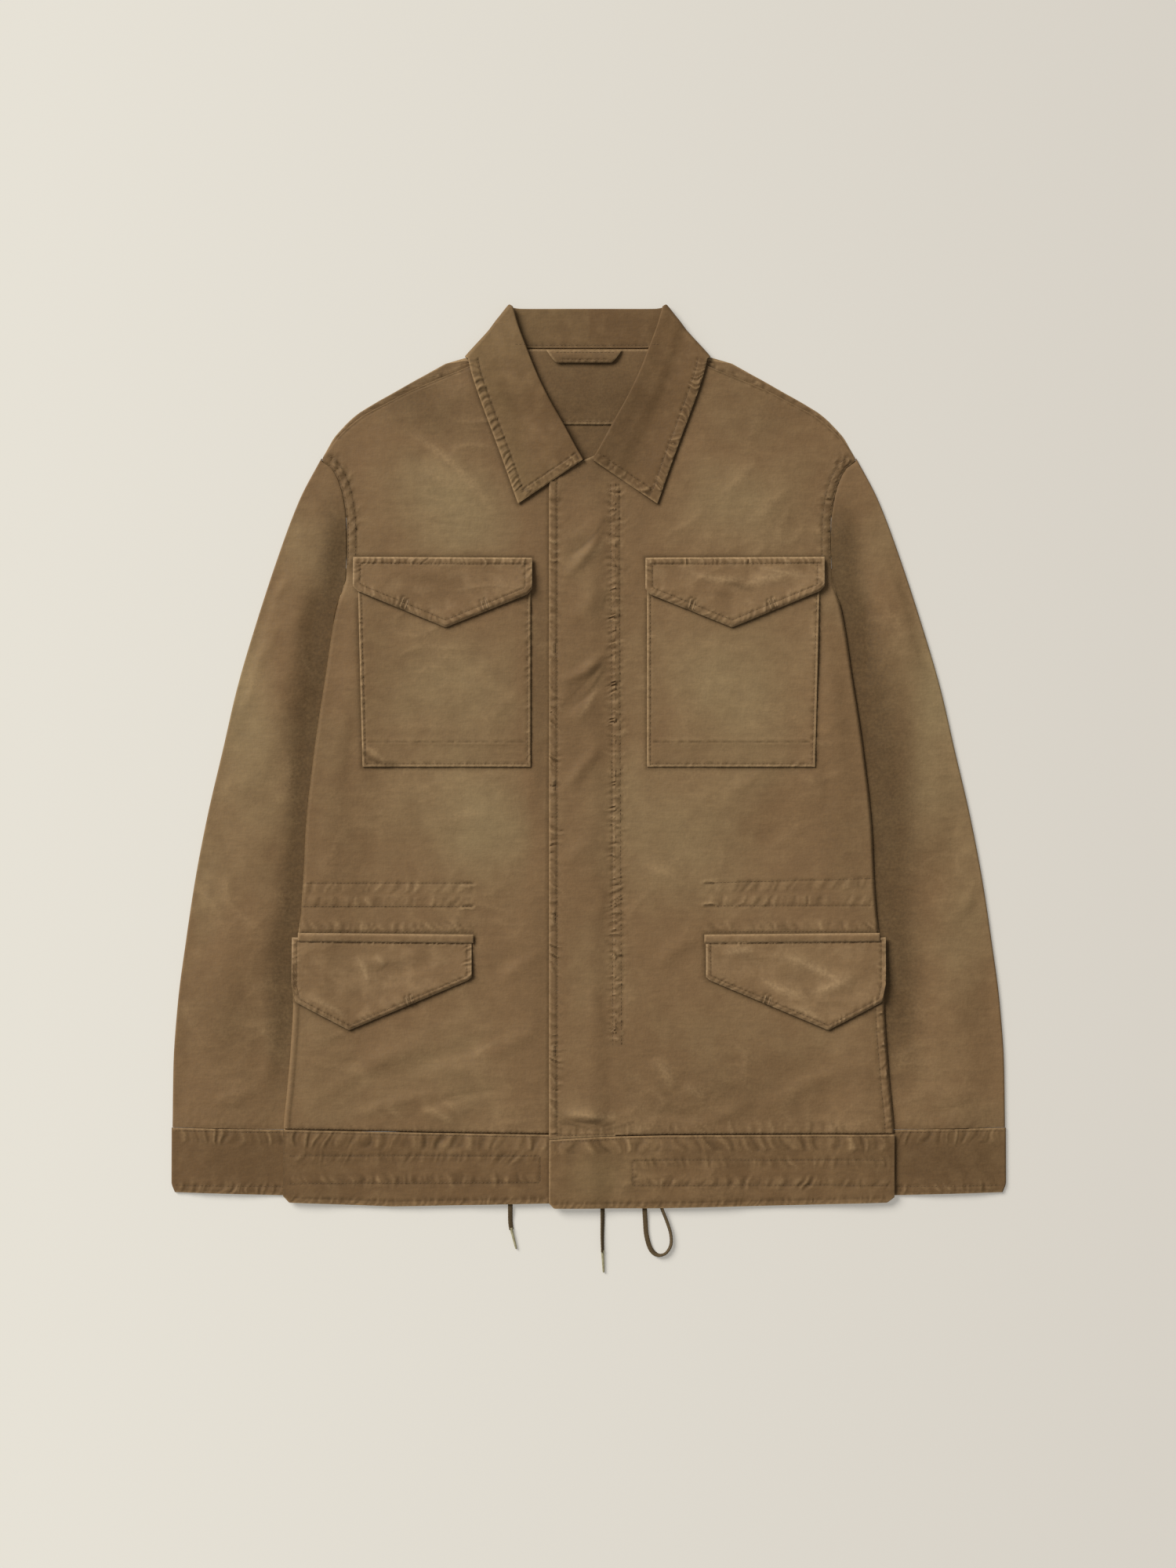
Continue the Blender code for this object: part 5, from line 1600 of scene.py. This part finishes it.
def sleeve_puff(side, folds, part, from_outer, from_inner):
    """How far a sleeve stands up inside its edges, with its folds and the gathers at the cuff."""
    puff = SLEEVE_PUFF * ease(from_inner, SLEEVE_TUCK + 3, SLEEVE_TUCK + 48) * ease(from_outer, 0, 45)
    puff = puff + folds * ease(from_inner, SLEEVE_TUCK + 2, SLEEVE_TUCK + 22)
    puff = puff * ease(part, 0, 0.1) * ease(from_outer, 0, 14)
    gather = 0.3 * ripples(from_outer + 4 * np.sin(part * 300), 8, 181 + side)
    return puff + gather * ease(part, 0.955, 0.998) * ease(from_outer, 2, 14) * ease(from_inner, 14, 26)


SLEEVE_ROWS = 250
SLEEVE_LENGTH = 600
SLEEVE_CLOSER = 1.08  # over 1, so that its rows are closer at the armhole


def add_sleeve(name, side):
    """A sleeve, as a flattened tube from the armhole to the cuff."""
    part = (np.linspace(0, 1, SLEEVE_ROWS) ** SLEEVE_CLOSER)[:, None]
    outer, inner, width, along = tube_plan(
        sleeve_edge, (SHOULDER, CUFF_SEAM_OUTER + SEAM_GAP), (UNDERARM, CUFF_SEAM_INNER + SEAM_GAP),
        part, 66,
    )
    seam_y = mix(SHOULDER, UNDERARM, along)
    bow_x = back_reach(seam_y) + SEAM_GAP - mix(outer[0][0], inner[0][0], along)
    reach = mix(outer[0], inner[0], along) + bow_x * (1 - ease(part, 0, ARMHOLE_PART))
    y = mix(outer[1], inner[1], along)
    washed, worn = crinkle(reach, y, 93 + side, 0.35)
    folds = crease_height(SLEEVE_CREASES, reach, y) + drift(reach, y, 37 + side, 110, 40, 0.3) + washed
    puff = sleeve_puff(side, folds, part, width * along, width * (1 - along))
    heights = 2 * FOLD_RADIUS + np.maximum(0, puff)
    heights = heights - 0.6 * (1 - ease(part * SLEEVE_LENGTH, -0.5, 2.5))
    heights = heights - 0.5 * (1 - ease((1 - part) * SLEEVE_LENGTH, -0.5, 2))
    x, y, z = flat_tube(reach, y, heights)
    cloth = Cloth(name + "_sleeve", side * x, y, z, closed=True)
    # painted shade beside the body
    cloth.deep = sleeve_shade(x, y, side)
    cloth.pale[:, : reach.shape[1]] = CRINKLE_WEAR * worn
    cloth.make("canvas")


# How wide the strip of painted shade on a sleeve is beside the body: (height, width)
SHADE_WIDTH = {
    -1: [(220, 26), (60, 34), (-60, 22), (-180, 30), (-300, 22)],
    1: [(220, 26), (100, 40), (-25, 52), (-180, 40), (-300, 30)],
}


def sleeve_shade(reach, y, side):
    """Painted shade on a sleeve beside the body, whose edge stands above it."""
    beside = reach - back_reach(y)
    width = smooth(SHADE_WIDTH[side])(y)
    return 0.95 * ease(beside / width, 1.2, 0.4) * ease(y, 250, 190) * ease(y, -340, -220)


def add_cuff(name, side):
    """A cuff, as a flattened tube with its gathers."""
    outer, inner, width, along = tube_plan(
        cuff_edge, (CUFF_SEAM_OUTER, CUFF_BOTTOM_OUTER), (CUFF_SEAM_INNER, CUFF_BOTTOM_INNER),
        across(1.0, 38, CUFF_MARKS).T, 96,
    )
    reach = mix(outer[0], inner[0], along)
    y = mix(outer[1], inner[1], along)
    from_inner, from_outer = width * (1 - along), width * along
    puff = CUFF_PUFF * ease(from_inner, SLEEVE_TUCK + 3, SLEEVE_TUCK + 40) * ease(from_outer, 0, 30)
    # line, band, plump, ripple, pitch, reach, seed, slant
    rows = sewing(
        ([(258, -336.2), (371, -334.2)], -9, 0.1, 0.32, 10, 5, 191 + side, 0.3),
        ([(258, -384.5), (371, -382.5)], -5, 0.2, 0.28, 9, 8, 193 + side, -0.3),
    )
    rise, pale, deep = sew(rows, reach, y)
    fall, worn = round_edges(reach, y, (0, 0, 1, 1))
    shown = ease(from_outer, 1, 8)
    x, full_y, z = flat_tube(reach, y, 2 * FOLD_RADIUS + puff + rise * shown + fall)
    cloth = Cloth(name + "_cuff", side * x, full_y, z, closed=True)
    cloth.pale[:, : reach.shape[1]] = np.maximum(pale * shown, worn)
    cloth.deep[:, : reach.shape[1]] = deep * shown
    cloth.rows = [row._replace(line=row.line * (side, 1)) for row in rows]
    cloth.make("canvas_trim")


# ---- Collar ----

# Sections across half of it, from its front end to the centre back: where its roll, its leaf's
# edge and its neck seam are, and how far it has gone round to the back of the neck, in degrees
Section = namedtuple("Section", "roll_x roll_y edge_x edge_y neck_x neck_y turn")
COLLAR = [Section(*row) for row in (
    (5, 263.5, 62, COLLAR_FRONT, 12, 263, 0),
    (10, 272, 65, 233, 24, 267, 0),
    (23.5, 297, 73, 256, 37, 289, 0),
    (36.5, 320, 81, 278, 51, 312, 0),
    (47, 342, 90, 302, 62, 335, 0),
    (55, 362, 98, 324, 71, 357, 0),
    (63.5, 385, 104, 343, 76, 371, 0),
    (67.5, 399.6, 106.5, 354, 78, 379, 0),
    (67.5, 399.6, 106.5, 354, 78, 379, 180),
    (60, 398.4, 94, 346, 68, 366, 180),
    (42, 398.2, 64, 341, 46, 364.3, 180),
    (21, 398.2, 32, 339, 23, 364.3, 180),
    (0, 398.2, 0, 338, 0, 364.3, 180),
)]
LEAF_SECTIONS = 8  # the first ones, whose leaf shows
COLLAR_STATIONS = [26, 32, 30, 30, 28, 30, 22, 16, 10, 8, 8, 8]  # sections between each pair
COLLAR_OUTWARD = (0.786, 0.618)  # the way out from the side of the neck, where it goes round that
COLLAR_PLUMP = 1.0  # how far the roll stands up
LEAF_LIFT = 1.8  # how far a leaf's edge stands off
STAND_SHADE = 0.18  # the least dark mark on the stand
STAND_COLUMNS = 16
ROLL_ANGLES = (157, 135, 112, 90, 67, 45, 22)
LEAF_INSET = 8.2  # of its stitched lines
LEAF_SHOWS = 3.0  # a leaf's cloth above this height is on top of the jacket


def collar_sections():
    """The collar's half, from its front end to the centre back, with close sections."""
    knots = np.cumsum([0] + COLLAR_STATIONS)
    table = np.array(COLLAR, dtype=float)
    stations = np.arange(knots[-1] + 1)
    columns = []
    for values in table.T:
        columns.append(smooth(list(zip(knots, values)))(stations))
    return Section(*[column[:, None] for column in columns])


def collar_points(section, target_x, target_y, part, in_front, behind, side):
    """Points of the stand or the leaf, gone round the side of the neck by the section's turn."""
    x = mix(section.roll_x, target_x, part)
    y = mix(section.roll_y, target_y, part)
    high, low = in_front(COLLAR_CENTRE + side * x, y), behind(COLLAR_CENTRE + side * x, y)
    half = (high - low) / 2
    turn = np.radians(section.turn)
    out = half * np.sin(turn)
    return x + COLLAR_OUTWARD[0] * out, y + COLLAR_OUTWARD[1] * out, (high + low) / 2 + half * np.cos(turn)


def collar_half(side):
    """A half of the collar's grid: across each section from the neck seam to the leaf's edge."""
    section = collar_sections()
    stand = collar_points(
        section, section.neck_x, section.neck_y, np.linspace(1, 0, STAND_COLUMNS)[None],
        lambda x, y: cover(x, y) + LAY_GAP + WALL / 2, lambda x, y: rest(x, y) + WALL / 2, side,
    )
    leaf_width = np.hypot(section.edge_x - section.roll_x, section.edge_y - section.roll_y)
    part = across(leaf_width, 28, (0, 1.0, 2.2, 4), LEAF_MARKS) / leaf_width
    plump = LAYER * ease(part, 0.5, 0.25) + COLLAR_PLUMP * ease(part, 0.27, 0)
    plump = plump + LEAF_LIFT * ease(part, 0.45, 1)
    leaf = collar_points(
        section, section.edge_x, section.edge_y, part,
        lambda x, y: cover(x, y) + LAY_GAP + WALL / 2 + plump, lambda x, y: WALL / 2 + 0 * x, side,
    )
    top = np.stack([column[:, 0] for column in leaf])
    bottom = np.stack([column[:, -1] for column in stand])
    centre, radius = (top + bottom) / 2, (top - bottom) / 2
    beyond = np.stack([section.roll_x - section.edge_x, section.roll_y - section.edge_y])[:, :, 0]
    beyond = beyond / np.hypot(*beyond)
    size = np.linalg.norm(radius, axis=0)
    roll = []
    for angle in np.radians(ROLL_ANGLES):
        turned = centre + radius * cos(angle)
        turned[:2] += beyond * size * sin(angle)
        roll.append(turned)
    roll = np.stack(roll, axis=2)
    return np.stack([np.hstack([stand[axis], roll[axis], leaf[axis]]) for axis in range(3)])


def leaf_sewing(side):
    """Rows of sewing along a leaf's edge, and along its front end."""
    edge = [(COLLAR_CENTRE + side * row.edge_x, row.edge_y) for row in COLLAR[:LEAF_SECTIONS]]
    front = (COLLAR_CENTRE + side * COLLAR[0].roll_x, COLLAR[0].roll_y)
    outline = offset_line([front] + edge, side * LEAF_INSET)
    # line, band, plump, ripple, pitch, reach, seed, slant
    return sewing(
        (outline[1:], side * -7.4, 0.35, 0.34, 6.2, 2.5, 201 + side, 0.15),
        (outline[:2], side * -7.4, 0.35, 0.34, 6.2, 2.5, 203 + side, 0.15),
    )


def sew_leaves(cloth):
    """Add the sewing and rounded edges of both leaves, each only where its own leaf shows."""
    leaf = slice(STAND_COLUMNS + len(ROLL_ANGLES), None)
    x, y = cloth.x[:, leaf], cloth.y[:, leaf]
    rise, pale, deep = np.zeros((3, *x.shape))
    for _, side in SIDES:
        rows = leaf_sewing(side)
        shown = ((x - COLLAR_CENTRE) * side > 0) & (cloth.z[:, leaf] > LEAF_SHOWS)
        for total, value in zip((rise, pale, deep), sew(rows, x, y)):
            total[shown] = value[shown]
        cloth.rows += rows
    fall, worn = round_edges(x, y, (0, 1, 1, 1))
    cloth.z[:, leaf] += rise + fall + drift(x, y, 47, 90, 40, 0.1)
    cloth.pale[:, leaf] = np.maximum(pale, worn)
    cloth.deep[:, leaf] = deep * (1 - worn)


def sew_stand(cloth):
    """Add the sewing of the neck seam behind the neck, and the stand's darker colour."""
    stand = slice(0, STAND_COLUMNS)
    x, y = cloth.x[:, stand], cloth.y[:, stand]
    # line, band, plump, ripple, pitch, reach, seed
    rows = sewing(([(-66, 366.6), (64, 366.6)], -2.2, 0.3, 0.16, 7, 7, 205))
    at_back = ease(y, 362, 364) * ease(abs(x - COLLAR_CENTRE), 72, 60)
    rise, pale, deep = sew(rows, x, y)
    cloth.z[:, stand] += rise * at_back
    cloth.pale[:, stand] = pale * at_back
    cloth.deep[:, stand] = np.maximum(deep * at_back, STAND_SHADE)
    cloth.rows += rows


def add_collar():
    """The collar, with its stitched leaves, from the right front end round to the left."""
    x, y, z = collar_half(-1)
    right = np.stack([COLLAR_CENTRE - x, y, z])
    x, y, z = collar_half(1)
    left = np.stack([COLLAR_CENTRE + x, y, z])[:, -2::-1]
    cloth = Cloth("collar", *np.concatenate([right, left], axis=1))
    cloth.rolled = True
    sew_leaves(cloth)
    sew_stand(cloth)
    cloth.faded = 0.75 - 0.55 * (cloth.x > 0)
    cloth.make("canvas_trim")


NECK_COLUMNS = 60
LOOP_HEIGHT = 2.8


def neck_strip(top, bottom, rows, middle, bottom_half, top_half, bulge=1.0):
    """The plan of a strip behind the neck, and the part of its height at each row."""
    run = across(1.0, NECK_COLUMNS, NECK_MARKS)
    climb = across(top - bottom, rows).T
    high = climb / (top - bottom)
    half = mix(bottom_half, top_half, high**bulge)
    return middle + mix(-1, 1, run) * half, bottom + climb + 0 * run, high


def add_neck():
    """The facing inside the back neck, and the hanger loop on it."""
    x, y, _ = neck_strip(362.6, 296, 34, COLLAR_CENTRE, 36, 60)
    cloth = Cloth("neck_facing", x, y, rest(x, y) + LAYER + WALL + drift(x, y, 57, 60, 25, 0.15))
    cloth.tone = 0.22
    # Painted shadow under the hanger loop.
    cloth.shaded(0.9, 2.6, [(-30, 352), (-26, 348.6), (19, 348.6), (23, 352)])
    # line, band, plump, ripple, pitch, reach, seed
    cloth.sewn(sewing(([(-40, 298.6), (38, 298.6)], -2.5, 0.2, 0.2, 6, 5, 211)))
    cloth.make("canvas")
    x, y, high = neck_strip(361.8, 350.4, 10, -4.2, 24, 33.6, 0.7)
    rounded = LOOP_HEIGHT * np.sin(pi * np.clip(0.08 + 0.9 * high, 0, 1)) ** 0.5 * (1 - 0.4 * high)
    cloth = Cloth("hanger_loop", x, y, rest(x, y) + 2 * LAYER + WALL + rounded)
    cloth.tone = 0.2
    rows = sewing(
        ([(-27, 353.2), (18.6, 353.2)], -2.5, 0.1, 0.15, 6, 2, 213),
        ([(-30, 359.6), (22, 359.6)], 2, 0.1, 0.15, 6, 2, 215),
    )
    cloth.sewn(rows, drop=0.8)
    cloth.make("canvas")


add_camera()
add_stage()
for cord in CORDS:
    add_braid(cord)
add_back()
for name, side in SIDES:
    add_sleeve(name, side)
    add_cuff(name, side)
for name, side in SIDES:
    add_front(name, side)
add_fly()
for add_pair in (add_hem_band, add_chest_pocket, add_lower_pocket):
    for name, side in SIDES:
        add_pair(name, side)
add_neck()
add_collar()
